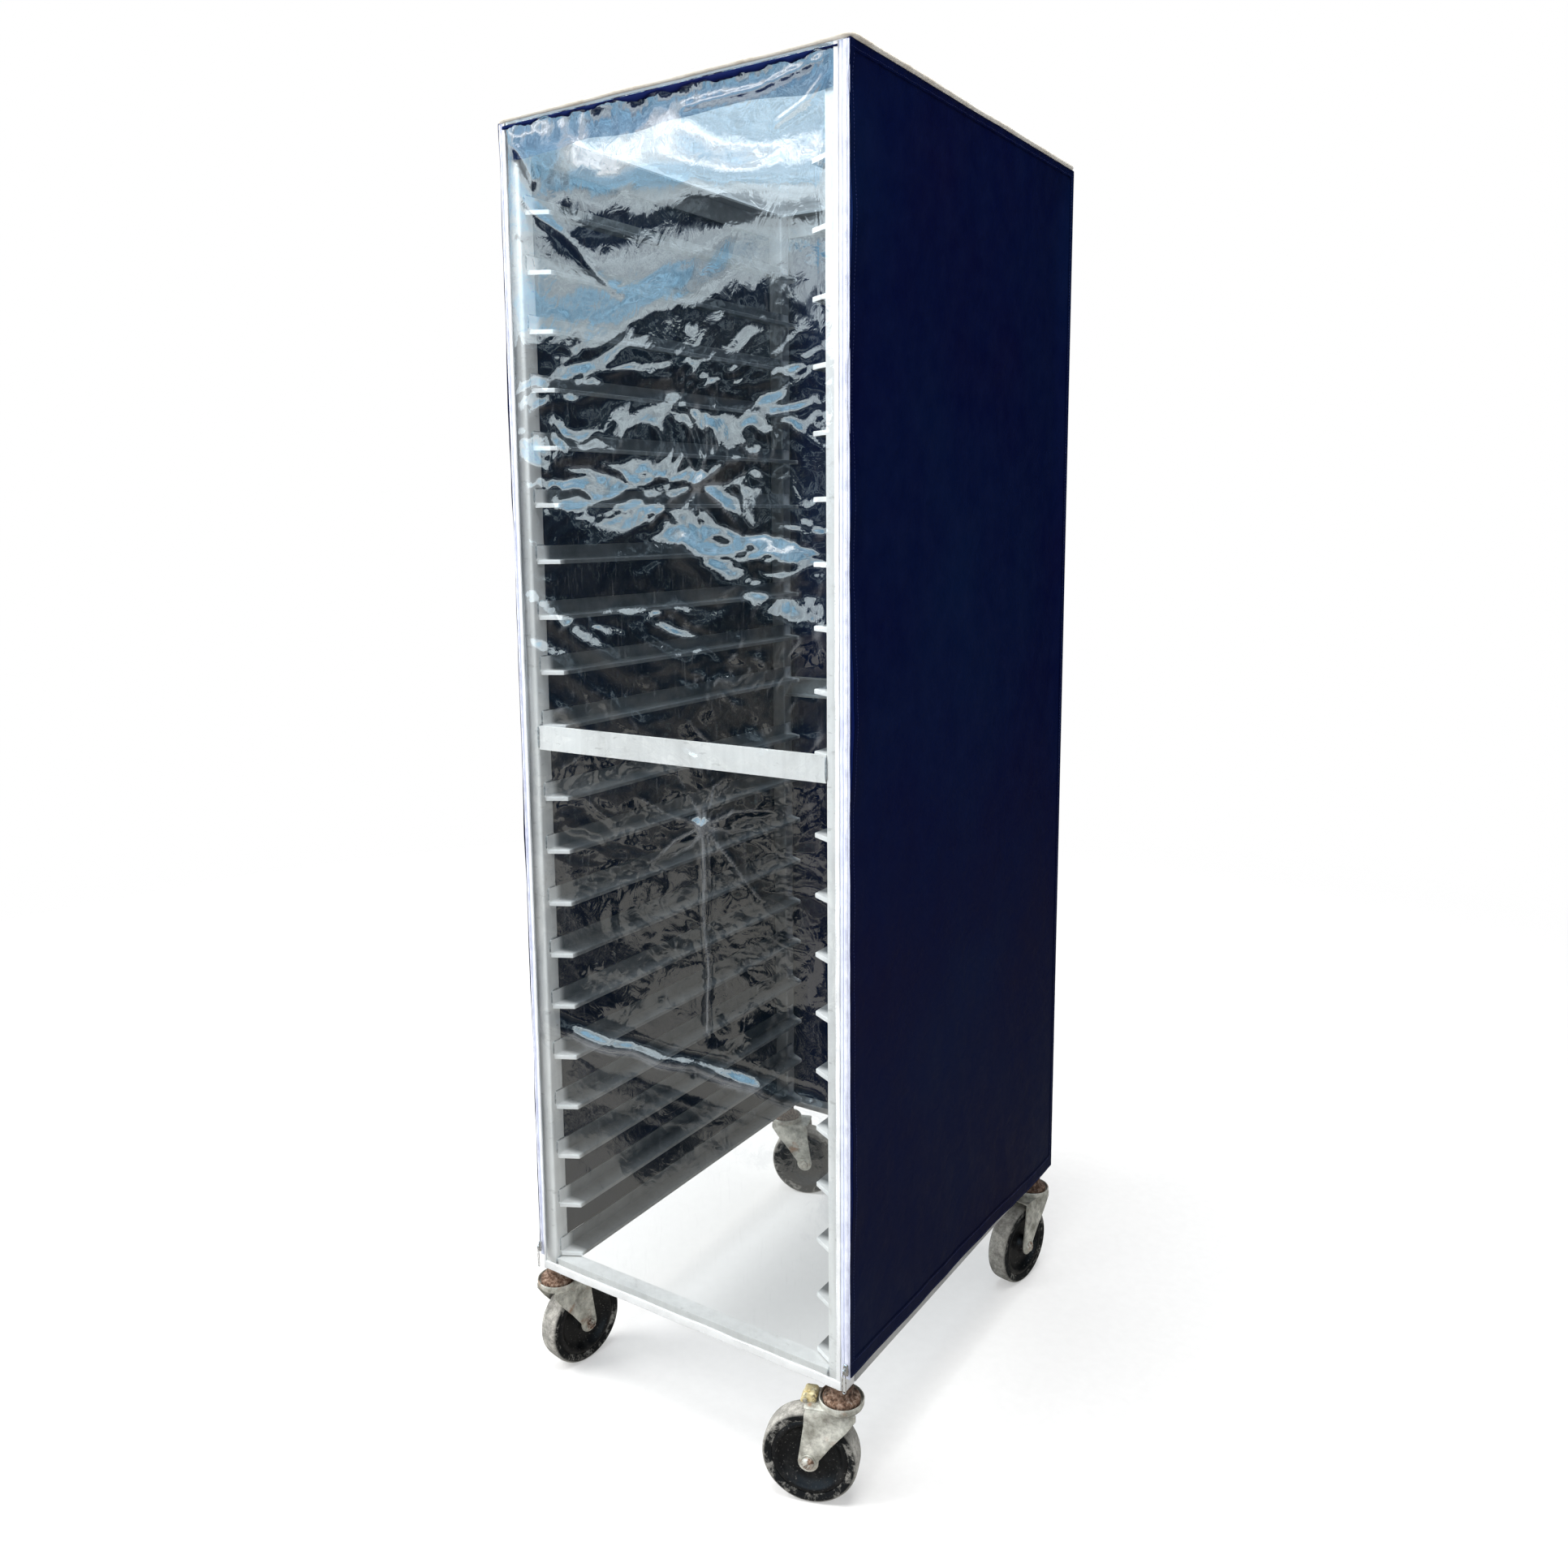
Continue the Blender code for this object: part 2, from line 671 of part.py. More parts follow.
def build_zippers(bound, tape, metal):
    """A zipper down each front corner. Each slider rides on the chain, which the side panel's tape carries."""
    flap_edge = bound + GAP
    side_edge = flap_edge + FLAP_TAPE + GAP
    chain = side_edge + CHAIN_MIDDLE
    for word, side in (("left", -1), ("right", 1)):
        flap_tape(f"{word}_flap_zipper_tape", side, flap_edge, tape)
        side_tape(f"{word}_side_zipper_tape", side, side_edge, tape)
        slider(f"{word}_zipper_slider", side * chain, metal)
        pull(f"{word}_zipper_pull", side * chain, metal)


# ---------------------------------------------------------------- the whole rack


def main():
    clear_scene()
    aluminium = surface("aluminium", (0.80, 0.81, 0.82), 0.38, 1.0)
    navy = surface("navy fabric", (0.004, 0.009, 0.045), 0.55)
    clear = surface("clear vinyl", (0.80, 0.86, 0.90), 0.08, alpha=0.35)
    cream = surface("cream piping", (0.75, 0.68, 0.55), 0.60)
    white = surface("white binding", (0.85, 0.86, 0.88), 0.55)
    tape = surface("zipper tape", (0.78, 0.80, 0.92), 0.65)
    chrome = surface("nickel", (0.70, 0.70, 0.70), 0.22, 1.0)
    looks = {
        "galvanised": surface("galvanised", (0.52, 0.52, 0.48), 0.55, 0.8),
        "rusty steel": surface("rusty steel", (0.38, 0.25, 0.17), 0.75, 0.5),
        "yellow zinc": surface("yellow zinc", (0.78, 0.64, 0.25), 0.40, 0.9),
        "black plastic": surface("black plastic", (0.012, 0.012, 0.015), 0.35),
        "worn tyre": surface("worn tyre", (0.05, 0.05, 0.05), 0.80),
        "black rubber": surface("black rubber", (0.02, 0.02, 0.02), 0.90),
    }
    build_frame(aluminium)
    for corner, (side, end, trails) in CASTERS.items():
        build_caster(corner, side, end, trails, looks)
    build_panels(navy, clear, cream)
    bound = COVER_SIDE - FABRIC - SIDE_TAPE - FLAP_TAPE - 3 * GAP
    build_flap(bound, clear, white)
    build_zippers(bound, tape, chrome)


main()
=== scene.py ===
"""Looks of the sheet pan rack: aluminium frame, rusty casters, and a cover of navy cloth and clear vinyl.

Metres, +Z up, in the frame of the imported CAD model. The clear front flap faces -Y.
"""

import json
import math

import bmesh
import bpy
import numpy as np
from mathutils import Matrix, Vector, noise

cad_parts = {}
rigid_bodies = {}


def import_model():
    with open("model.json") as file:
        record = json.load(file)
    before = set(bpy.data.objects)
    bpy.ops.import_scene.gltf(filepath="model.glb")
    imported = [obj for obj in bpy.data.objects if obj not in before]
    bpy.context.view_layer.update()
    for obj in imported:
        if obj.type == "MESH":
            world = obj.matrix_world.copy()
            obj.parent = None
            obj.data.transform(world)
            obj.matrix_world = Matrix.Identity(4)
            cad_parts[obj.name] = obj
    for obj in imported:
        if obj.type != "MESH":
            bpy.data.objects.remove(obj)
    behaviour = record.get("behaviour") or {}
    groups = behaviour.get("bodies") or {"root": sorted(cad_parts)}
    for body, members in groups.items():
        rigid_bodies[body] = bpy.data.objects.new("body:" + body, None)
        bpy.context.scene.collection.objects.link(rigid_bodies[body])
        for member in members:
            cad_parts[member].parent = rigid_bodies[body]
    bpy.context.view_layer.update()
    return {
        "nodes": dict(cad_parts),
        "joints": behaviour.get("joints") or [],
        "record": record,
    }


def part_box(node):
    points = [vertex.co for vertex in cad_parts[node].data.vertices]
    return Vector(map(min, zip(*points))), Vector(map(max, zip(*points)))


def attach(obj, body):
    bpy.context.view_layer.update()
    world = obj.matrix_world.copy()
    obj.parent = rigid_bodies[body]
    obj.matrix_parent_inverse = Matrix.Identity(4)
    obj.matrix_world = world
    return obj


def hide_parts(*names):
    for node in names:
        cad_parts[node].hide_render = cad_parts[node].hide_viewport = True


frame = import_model()

# ---------------------------------------------------------------- sizes read from the frame

_side_low, _side_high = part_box("right_side_frame")
RACK_X = _side_high.x  # outer face of the posts
RACK_Y = _side_high.y
POST = 0.0254
POST_WALL = 0.0025
POST_LOW, POST_HIGH = _side_low.z, _side_high.z
LEDGE_TIP = _side_low.x
LEDGES = [slot["box_m"][0][2] - 0.001 for slot in frame["record"]["physics"]["openings"]]
RUNNER_END = RACK_Y - 0.0080

_panel_low, _panel_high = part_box("right_cover_panel")
COVER_X = _panel_high.x
COVER_Y = _panel_high.y
COVER_LOW, COVER_HIGH = _panel_low.z, _panel_high.z
COVER_DEPTH = 2 * COVER_Y
_flap_low, _flap_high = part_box("front_panel_binding")
FLAP_X = _flap_high.x
FLAP_LOW, FLAP_HIGH = _flap_low.z, _flap_high.z
WINDOW_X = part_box("front_clear_panel")[1].x
PIPING_RADIUS = 0.0034
SIDES = (("left", -1), ("right", 1))

JOINTS = {joint["name"]: joint for joint in frame["joints"]}
CORNERS = ("front_right", "front_left", "rear_right", "rear_left")
TRAIL = 0.0400  # from the swivel's axis back to the axle
WHEEL_RADIUS = 0.0635
LEVER_PIN_TRAIL = 0.0455
LEVER_PIN_Z = 0.1426
CHEEK_FACE = 0.0240  # outer face of the washer on a fork cheek, from the wheel's middle
WASHER_HALF = 0.0008

# ---------------------------------------------------------------- material helpers


class Look:
    """The node tree of a material, or of the world, built up one node at a time."""

    def __init__(self, name, world=False):
        self.owner = (bpy.data.worlds if world else bpy.data.materials).new(name)
        self.owner.use_nodes = True
        self.tree = self.owner.node_tree
        self.tree.nodes.clear()
        self.output = self.node("ShaderNodeOutputWorld" if world else "ShaderNodeOutputMaterial")
        self.space = "Generated" if world else "Object"

    def node(self, kind, settings=None, **inputs):
        made = self.tree.nodes.new(kind)
        for key, value in (settings or {}).items():
            setattr(made, key, value)
        for key, value in inputs.items():
            self.feed(made.inputs[key.replace("_", " ")], value)
        return made

    def feed(self, socket, value):
        if isinstance(value, bpy.types.NodeSocket):
            self.tree.links.new(value, socket)
        elif socket.type == "RGBA" and len(value) == 3:
            socket.default_value = (*value, 1.0)
        else:
            socket.default_value = value

    def numbered(self, kind, settings, numbers, values, out=0):
        """A node's output, with its inputs fed by number, because several have the same name."""
        made = self.node(kind, settings)
        for number, value in zip(numbers, values):
            self.feed(made.inputs[number], value)
        return made.outputs[out]

    def place(self, stretch=(1.0, 1.0, 1.0)):
        """The point on the piece, in metres, or the world's direction, with each axis scaled."""
        where = self.node("ShaderNodeTexCoord").outputs[self.space]
        return self.node("ShaderNodeMapping", Vector=where, Scale=stretch).outputs[0]

    def noise(self, scale, detail=4.0, roughness=0.55, stretch=(1.0, 1.0, 1.0), distortion=0.0):
        inputs = dict(Scale=scale, Detail=detail, Roughness=roughness, Distortion=distortion)
        return self.node("ShaderNodeTexNoise", Vector=self.place(stretch), **inputs).outputs["Fac"]

    def wave(self, scale, direction, distortion=0.0):
        inputs = dict(Vector=self.place(), Scale=scale, Distortion=distortion)
        return self.node("ShaderNodeTexWave", {"bands_direction": direction}, **inputs).outputs["Fac"]

    def ramp(self, value, *stops):
        """A colour or grey ramp. Each stop is (position, colour or grey)."""
        made = self.node("ShaderNodeValToRGB", Fac=value)
        elements = made.color_ramp.elements
        while len(elements) < len(stops):
            elements.new(0.5)
        for element, (position, colour) in zip(elements, stops):
            element.position = position
            element.color = (*colour, 1.0) if hasattr(colour, "__len__") else (colour, colour, colour, 1.0)
        return made.outputs["Color"]

    def mask(self, value, low, high):
        """0 up to low, rising to 1 at high."""
        return self.ramp(value, (low, 0.0), (high, 1.0))

    def mix(self, factor, a, b, blend="MIX"):
        settings = {"data_type": "RGBA", "blend_type": blend}
        return self.numbered("ShaderNodeMix", settings, (0, 6, 7), (factor, a, b), 2)

    def darken(self, amount, base, by):
        return self.mix(amount, base, by, "MULTIPLY")

    def maths(self, operation, a, b=0.0):
        return self.numbered("ShaderNodeMath", {"operation": operation}, (0, 1), (a, b))

    def times(self, a, b):
        return self.maths("MULTIPLY", a, b)

    def plus(self, a, b):
        return self.maths("ADD", a, b)

    def minus(self, a, b):
        return self.maths("SUBTRACT", a, b)

    def bump(self, height, distance, strength=1.0, normal=None):
        made = self.node("ShaderNodeBump", Height=height, Distance=distance, Strength=strength)
        if normal is not None:
            self.feed(made.inputs["Normal"], normal)
        return made.outputs["Normal"]

    def attribute(self, name):
        return self.node("ShaderNodeAttribute", {"attribute_name": name}).outputs["Fac"]

    def parts(self, vector):
        return self.node("ShaderNodeSeparateXYZ", Vector=vector).outputs

    def blend(self, factor, first, second):
        """One shader fading into another."""
        return self.numbered("ShaderNodeMixShader", None, (0, 1, 2), (factor, first, second))

    def shade(self, shader):
        """Finishes the tree with this shader."""
        self.tree.links.new(shader, self.output.inputs[0])
        return self.owner

    def principled(self, **inputs):
        return self.shade(self.node("ShaderNodeBsdfPrincipled", **inputs).outputs[0])


# ---------------------------------------------------------------- materials


def aluminium_look(name, pale, grey, metallic):
    """Mill-finish tube and sheet: drawn streaks, dull oxide patches and a few scratches."""
    look = Look(name)
    streaks = look.noise(90.0, 5.0, 0.6, (1.0, 1.0, 0.06))
    patches = look.noise(11.0, 7.0, 0.68)
    scuffs = look.mask(look.noise(160.0, 2.0, 0.5, (0.35, 0.35, 1.0)), 0.66, 0.72)
    stains = look.mask(look.noise(37.0, 7.0, 0.75), 0.57, 0.72)
    base = look.ramp(patches, (0.32, (grey, grey, 0.985 * grey)), (0.60, (pale, pale, 0.985 * pale)))
    base = look.darken(0.22, base, look.ramp(streaks, (0.35, 0.62), (0.65, 1.0)))
    base = look.mix(look.times(scuffs, 0.35), base, (0.36, 0.36, 0.35))
    base = look.mix(look.times(stains, 0.30), base, (0.33, 0.31, 0.27))
    worn = look.times(look.plus(streaks, patches), 0.5)
    return look.principled(
        Base_Color=base,
        Metallic=metallic,
        Roughness=look.ramp(worn, (0.35, 0.36), (0.65, 0.58)),
        Normal=look.bump(look.mix(0.5, streaks, scuffs), 0.00025, 0.35),
    )


def runner_look():
    """Formed sheet: a darker copy of the aluminium as painted shade, with a painted highlight at the ends,
    where the front edges catch the light.
    """
    look = Look("formed aluminium sheet")
    streaks = look.noise(80.0, 5.0, 0.6, (1.0, 0.05, 1.0))
    patches = look.noise(13.0, 7.0, 0.68)
    # Painted shade: darker than the posts' aluminium.
    base = look.ramp(patches, (0.32, (0.17, 0.185, 0.195)), (0.62, (0.31, 0.325, 0.335)))
    base = look.darken(0.35, base, look.ramp(streaks, (0.35, 0.55), (0.65, 1.0)))
    along = look.maths("ABSOLUTE", look.parts(look.place())["Y"])
    # Painted highlight: pale and less metallic over the last few centimetres of each end.
    lit_ends = look.mask(along, RACK_Y - 0.033, RACK_Y - 0.022)
    bright = look.ramp(patches, (0.3, (0.78, 0.79, 0.79)), (0.6, (0.95, 0.95, 0.94)))
    return look.principled(
        Base_Color=look.mix(lit_ends, base, bright),
        Metallic=look.ramp(lit_ends, (0.0, 0.40), (1.0, 0.10)),
        Roughness=look.ramp(streaks, (0.35, 0.36), (0.65, 0.55)),
        Normal=look.bump(streaks, 0.00025, 0.35),
    )


def mottled_look(name, mottle, dark, pale, bump, **finish):
    """Two tones in fine patches, a little uneven to the touch. Each tone is (position, colour)."""
    look = Look(name)
    patches = look.noise(*mottle)
    base = look.ramp(patches, dark, pale)
    return look.principled(Base_Color=base, Normal=look.bump(patches, *bump), **finish)


def navy_look():
    """Coated polyester: a plain weave under a thin satin coating, uneven in tone, with painted shade
    darkening it low down.
    """
    look = Look("navy coated cloth")
    weave = look.times(look.wave(310.0, "Y"), look.wave(310.0, "Z"))
    broad = look.noise(2.1, 4.0, 0.5)
    mottle = look.noise(26.0, 5.0, 0.6)
    warm, plain, cool = (0.0030, 0.0028, 0.0350), (0.0004, 0.0034, 0.0410), (0.0008, 0.0085, 0.0490)
    deep = look.ramp(broad, (0.34, warm), (0.50, plain), (0.68, cool))
    base = look.mix(look.ramp(mottle, (0.35, 0.0), (0.8, 0.35)), deep, (0.0050, 0.0120, 0.0600))
    base = look.darken(0.25, base, look.ramp(weave, (0.0, 0.45), (0.6, 1.0)))
    # Painted shade: the cloth is darkened towards the floor.
    height = look.parts(look.place())["Z"]
    base = look.darken(1.0, base, look.ramp(height, (COVER_LOW, 0.72), (0.95, 1.0)))
    crumple = look.noise(34.0, 3.0, 0.5, distortion=0.6)
    return look.principled(
        Base_Color=base,
        Roughness=look.ramp(mottle, (0.3, 0.52), (0.7, 0.66)),
        Normal=look.bump(weave, 0.00012, 0.5, look.bump(crumple, 0.0020, 0.55)),
        Specular_IOR_Level=0.07,
    )


def vinyl_look(name, shine, haze, tint):
    """Clear vinyl: a thin film that mirrors its surroundings, turned white along its creases and scuffed. The
    white creases are partly real stress marks and partly a painted highlight along the wrinkles.
    """
    look = Look(name)
    fine = look.noise(46.0, 3.0, 0.5, (1.0, 1.0, 0.8), 1.2)
    scratches = look.mask(look.noise(240.0, 2.0, 0.6, (1.0, 1.0, 0.12), 0.4), 0.60, 0.70)
    dust = look.noise(14.0, 6.0, 0.65)
    normal = look.bump(fine, 0.0006, 0.45)
    surface = dict(Roughness=look.ramp(dust, (0.35, 0.02), (0.7, 0.06)), Normal=normal)
    mirror = look.node("ShaderNodeBsdfGlossy", Color=(0.95, 0.98, 1.0), **surface).outputs[0]
    clear = look.node("ShaderNodeBsdfTransparent", Color=tint).outputs[0]
    white = look.node("ShaderNodeBsdfDiffuse", Color=(0.78, 0.82, 0.86)).outputs[0]
    # A ray that leaves through the film's back meets the same change of index the other way round.
    inside = look.node("ShaderNodeNewGeometry").outputs["Backfacing"]
    index = look.maths("POWER", shine, look.minus(1.0, look.times(inside, 2.0)))
    mirrored = look.node("ShaderNodeFresnel", IOR=index, Normal=normal).outputs[0]
    film = look.blend(mirrored, clear, mirror)
    # Crease marks: partly real stress whitening, partly painted highlight along the wrinkles.
    whitened_and_glint = look.plus(look.times(look.attribute("crease"), 0.10), look.times(scratches, 0.02))
    clouded = look.times(look.ramp(dust, (0.45, 0.2), (0.8, 1.0)), haze)
    return look.shade(look.blend(look.plus(whitened_and_glint, clouded), film, white))


def ribbon_look(name, pale, dark, ribs):
    """Woven tape: fine ribs across it, a little soiling, more of it near the floor."""
    look = Look(name)
    rib = look.wave(ribs, "DIAGONAL", 0.6)
    soil = look.noise(30.0, 6.0, 0.7)
    base = look.ramp(soil, (0.30, dark), (0.55, pale))
    low = look.ramp(look.parts(look.place())["Z"], (COVER_LOW, 0.38), (COVER_LOW + 0.12, 0.0))
    base = look.mix(look.times(low, look.plus(soil, 0.3)), base, (0.40, 0.39, 0.36))
    base = look.darken(0.30, base, look.ramp(rib, (0.0, 0.72), (0.7, 1.0)))
    return look.principled(
        Base_Color=base,
        Roughness=0.68,
        Normal=look.bump(rib, 0.00018, 0.7, look.bump(soil, 0.0006, 0.3)),
        Sheen_Weight=0.12,
    )


def thread_look(name, colour):
    look = Look(name)
    twist = look.noise(900.0, 2.0, 0.5)
    base = look.mix(look.mask(twist, 0.4, 0.6), tuple(0.7 * c for c in colour), colour)
    return look.principled(Base_Color=base, Roughness=0.7, Normal=look.bump(twist, 0.0002, 0.4))


def galvanised_look():
    """Pressed zinc-coated steel that has been outdoors: white bloom, grey spangle and patches of rust."""
    look = Look("weathered galvanised steel")
    spangle = look.node("ShaderNodeTexVoronoi", Vector=look.place(), Scale=190.0).outputs["Distance"]
    bloom = look.noise(48.0, 8.0, 0.7)
    rust = look.mask(look.noise(30.0, 7.0, 0.68, distortion=0.5), 0.56, 0.68)
    grime = look.mask(look.noise(75.0, 5.0, 0.7), 0.50, 0.66)
    dull, grey, white = (0.24, 0.23, 0.19), (0.50, 0.49, 0.43), (0.74, 0.72, 0.64)
    base = look.ramp(bloom, (0.34, dull), (0.50, grey), (0.64, white))
    base = look.darken(0.20, base, look.ramp(spangle, (0.0, 0.6), (0.5, 1.0)))
    base = look.mix(look.times(grime, 0.55), base, (0.10, 0.09, 0.075))
    base = look.mix(look.times(rust, 0.75), base, (0.27, 0.125, 0.055))
    return look.principled(
        Base_Color=base,
        Metallic=look.ramp(look.plus(rust, grime), (0.0, 0.30), (0.6, 0.05)),
        Roughness=look.ramp(bloom, (0.3, 0.42), (0.7, 0.70)),
        Normal=look.bump(bloom, 0.0006, 0.5),
    )


def rusty_look(name, plate, amount):
    """Plated steel with rust breaking through. Amount runs from 0, bright, to 1, all rust."""
    look = Look(name)
    flakes = look.noise(85.0, 8.0, 0.72, distortion=0.6)
    tone = look.noise(210.0, 5.0, 0.6)
    deep, brown, pale = (0.040, 0.022, 0.014), (0.155, 0.090, 0.058), (0.36, 0.27, 0.21)
    rust = look.ramp(tone, (0.35, deep), (0.5, brown), (0.68, pale))
    edge = 0.70 - 0.45 * amount
    rusted = look.mask(flakes, edge - 0.05, edge + 0.05)
    return look.principled(
        Base_Color=look.mix(rusted, plate, rust),
        Metallic=look.ramp(rusted, (0.0, 0.5), (1.0, 0.0)),
        Roughness=look.ramp(rusted, (0.0, 0.48), (1.0, 0.88)),
        Normal=look.bump(look.mix(0.5, flakes, tone), 0.0008, 0.7),
    )


def wheel_look():
    """Moulded black plastic with dust in its corners and grey scuffs."""
    look = Look("black wheel centre")
    dust = look.mask(look.noise(42.0, 7.0, 0.7), 0.50, 0.72)
    grain = look.noise(420.0, 3.0, 0.5)
    specks = look.mask(look.noise(330.0, 3.0, 0.6), 0.62, 0.68)
    base = look.mix(look.times(dust, 0.16), (0.0040, 0.0044, 0.0055), (0.15, 0.14, 0.125))
    base = look.mix(look.times(specks, 0.30), base, (0.30, 0.29, 0.27))
    return look.principled(
        Base_Color=base,
        Roughness=look.ramp(dust, (0.0, 0.42), (1.0, 0.80)),
        Specular_IOR_Level=0.22,
        Normal=look.bump(grain, 0.0003, 0.25),
    )


def tyre_look():
    """Black rubber, with concrete dust ground into the tread and scuffed patches on the walls."""
    look = Look("worn wheel tread")
    cover = look.mask(look.noise(48.0, 8.0, 0.74, distortion=0.4), 0.36, 0.62)
    dust = look.times(look.attribute("tread"), look.plus(look.times(cover, 0.6), 0.4))
    wall = look.times(look.mask(cover, 0.55, 0.95), 0.55)
    pits = look.noise(300.0, 4.0, 0.7)
    base = look.mix(look.maths("MAXIMUM", dust, wall), (0.0065, 0.0066, 0.0072), (0.56, 0.54, 0.49))
    base = look.darken(0.6, base, look.ramp(pits, (0.35, 0.40), (0.62, 1.0)))
    normal = look.bump(pits, 0.0006, 0.6)
    return look.principled(Base_Color=base, Roughness=0.82, Specular_IOR_Level=0.25, Normal=normal)


def zinc_look():
    look = Look("yellow zinc")
    tint = look.noise(130.0, 4.0, 0.6)
    wear = look.mask(look.noise(70.0, 7.0, 0.7), 0.53, 0.66)
    base = look.ramp(tint, (0.35, (0.74, 0.56, 0.20)), (0.65, (0.95, 0.88, 0.60)))
    return look.principled(
        Base_Color=look.mix(wear, base, (0.14, 0.10, 0.06)),
        Metallic=0.30,
        Roughness=look.ramp(wear, (0.0, 0.32), (1.0, 0.8)),
        Normal=look.bump(tint, 0.0003, 0.3),
    )


def nickel_look():
    look = Look("nickel plate")
    haze = look.noise(260.0, 5.0, 0.6)
    return look.principled(
        Base_Color=look.ramp(haze, (0.35, (0.42, 0.41, 0.40)), (0.6, (0.78, 0.77, 0.75))),
        Metallic=0.95,
        Roughness=look.ramp(haze, (0.3, 0.16), (0.7, 0.38)),
        Normal=look.bump(haze, 0.0002, 0.2),
    )


LOOKS = {
    "aluminium": aluminium_look("weathered aluminium", 0.92, 0.80, 0.08),
    # A darker copy of the aluminium: painted shade for the rear posts, the rear and side rails and the rear
    # crossbar.
    "shaded aluminium": aluminium_look("oxidised aluminium", 0.56, 0.40, 0.25),
    "runner aluminium": runner_look(),
    "weld": mottled_look(
        "weld bead", (220.0, 4.0, 0.6), (0.35, (0.30, 0.30, 0.30)), (0.6, (0.62, 0.63, 0.64)), (0.0004, 0.5),
        Metallic=0.8, Roughness=0.45,
    ),
    "navy": navy_look(),
    "front vinyl": vinyl_look("clear front vinyl", 2.45, 0.010, (0.955, 0.975, 0.98)),
    # Painted reflection: the top film's blue-grey tint stands in for the sky mirrored in clear vinyl.
    "top vinyl": vinyl_look("clear top vinyl", 2.0, 0.03, (0.50, 0.58, 0.64)),
    "binding": ribbon_look("white binding", (0.86, 0.88, 0.89), (0.68, 0.69, 0.69), 420.0),
    "piping": ribbon_look("cream piping", (0.84, 0.79, 0.70), (0.62, 0.55, 0.45), 500.0),
    # Painted light: the tape's lavender tint is skylight falling on white tape.
    "tape": ribbon_look("lavender zipper tape", (0.75, 0.79, 0.97), (0.60, 0.63, 0.82), 620.0),
    "coil": mottled_look(
        "zipper coil", (60.0, 4.0, 0.6), (0.35, (0.52, 0.54, 0.66)), (0.6, (0.76, 0.78, 0.90)), (0.0002, 0.2),
        Roughness=0.32, Specular_IOR_Level=0.6,
    ),
    "white thread": thread_look("white thread", (0.85, 0.86, 0.88)),
    "navy thread": thread_look("navy thread", (0.030, 0.042, 0.150)),
    "galvanised": galvanised_look(),
    "rusty cup": rusty_look("rusty raceway", (0.55, 0.53, 0.48), 0.80),
    "rusty bolt": rusty_look("rusty axle bolt", (0.60, 0.57, 0.50), 0.45),
    "wheel": wheel_look(),
    "tyre": tyre_look(),
    "zinc": zinc_look(),
    "nickel": nickel_look(),
    "rubber": mottled_look(
        "black rubber", (120.0, 5.0, 0.65), (0.35, 0.012), (0.7, 0.05), (0.0004, 0.4), Roughness=0.85
    ),
}

# ---------------------------------------------------------------- mesh helpers


def put(name, data):
    """A new object in the scene."""
    made = bpy.data.objects.new(name, data)
    bpy.context.scene.collection.objects.link(made)
    return made


def finish_surface(thing, look, bevel, sharp=35.0):
    """A material, smooth round faces and softened edges."""
    thing.data.materials.clear()
    thing.data.materials.append(LOOKS[look])
    thing.data.shade_smooth()
    thing.data.set_sharp_from_angle(angle=math.radians(sharp))
    if bevel:
        modifier = thing.modifiers.new("Worn edges", "BEVEL")
        modifier.width = bevel
        modifier.segments = 2
        modifier.limit_method = "ANGLE"
        modifier.angle_limit = math.radians(32)
        modifier.harden_normals = True


def piece(name, mesh, look, body, replaces=(), bevel=0.0, sharp=35.0):
    """A mesh in the row frame as a piece that rides on a body."""
    made = put(name, mesh)
    finish_surface(made, look, bevel, sharp)
    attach(made, body)
    if replaces:
        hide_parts(*replaces)
    return made


def mesh_of(bm, name="shape"):
    bmesh.ops.recalc_face_normals(bm, faces=bm.faces)
    mesh = bpy.data.meshes.new(name)
    bm.to_mesh(mesh)
    bm.free()
    return mesh


def skin(bm, near, far):
    """Four-sided faces between two rings of as many vertices."""
    count = len(near)
    for i in range(count):
        j = (i + 1) % count
        bm.faces.new((near[i], near[j], far[j], far[i]))


def swept(bm, rings, closed_path=False):
    """Joins rings of points, each an equal-length closed loop, into a skin with end caps."""
    made = [[bm.verts.new(point) for point in ring] for ring in rings]
    for near, far in zip(made, made[1:]):
        skin(bm, near, far)
    if closed_path:
        skin(bm, made[-1], made[0])
    else:
        bm.faces.new(made[0])
        bm.faces.new(made[-1])


def swept_mesh(rings, closed_path=False):
    bm = bmesh.new()
    swept(bm, rings, closed_path)
    return mesh_of(bm)


def round_rect(half_x, half_y, radius, steps=4):
    """Points round a rectangle with rounded corners."""
    points = []
    for k, (sx, sy) in enumerate(((1, 1), (-1, 1), (-1, -1), (1, -1))):
        for step in range(steps + 1):
            turn = math.radians(90 * k + 90 * step / steps)
            x = sx * (half_x - radius) + radius * math.cos(turn)
            y = sy * (half_y - radius) + radius * math.sin(turn)
            points.append((x, y))
    return points


def circle(radius, steps):
    turns = [2 * math.pi * k / steps for k in range(steps)]
    return [(radius * math.cos(turn), radius * math.sin(turn)) for turn in turns]


def stack(bm, outline, levels, matrix):
    """Skins copies of an outline, one at each (height, size)."""
    swept(bm, [[matrix @ Vector((x * size, y * size, z)) for x, y in outline] for z, size in levels])


def lathe(bm, profile, steps, matrix):
    """Spins a closed profile of (radius, height) points round Z, then puts it in place."""
    rings = [[matrix @ Vector((r * x, r * y, h)) for r, h in profile] for x, y in circle(1.0, steps)]
    swept(bm, rings, closed_path=True)


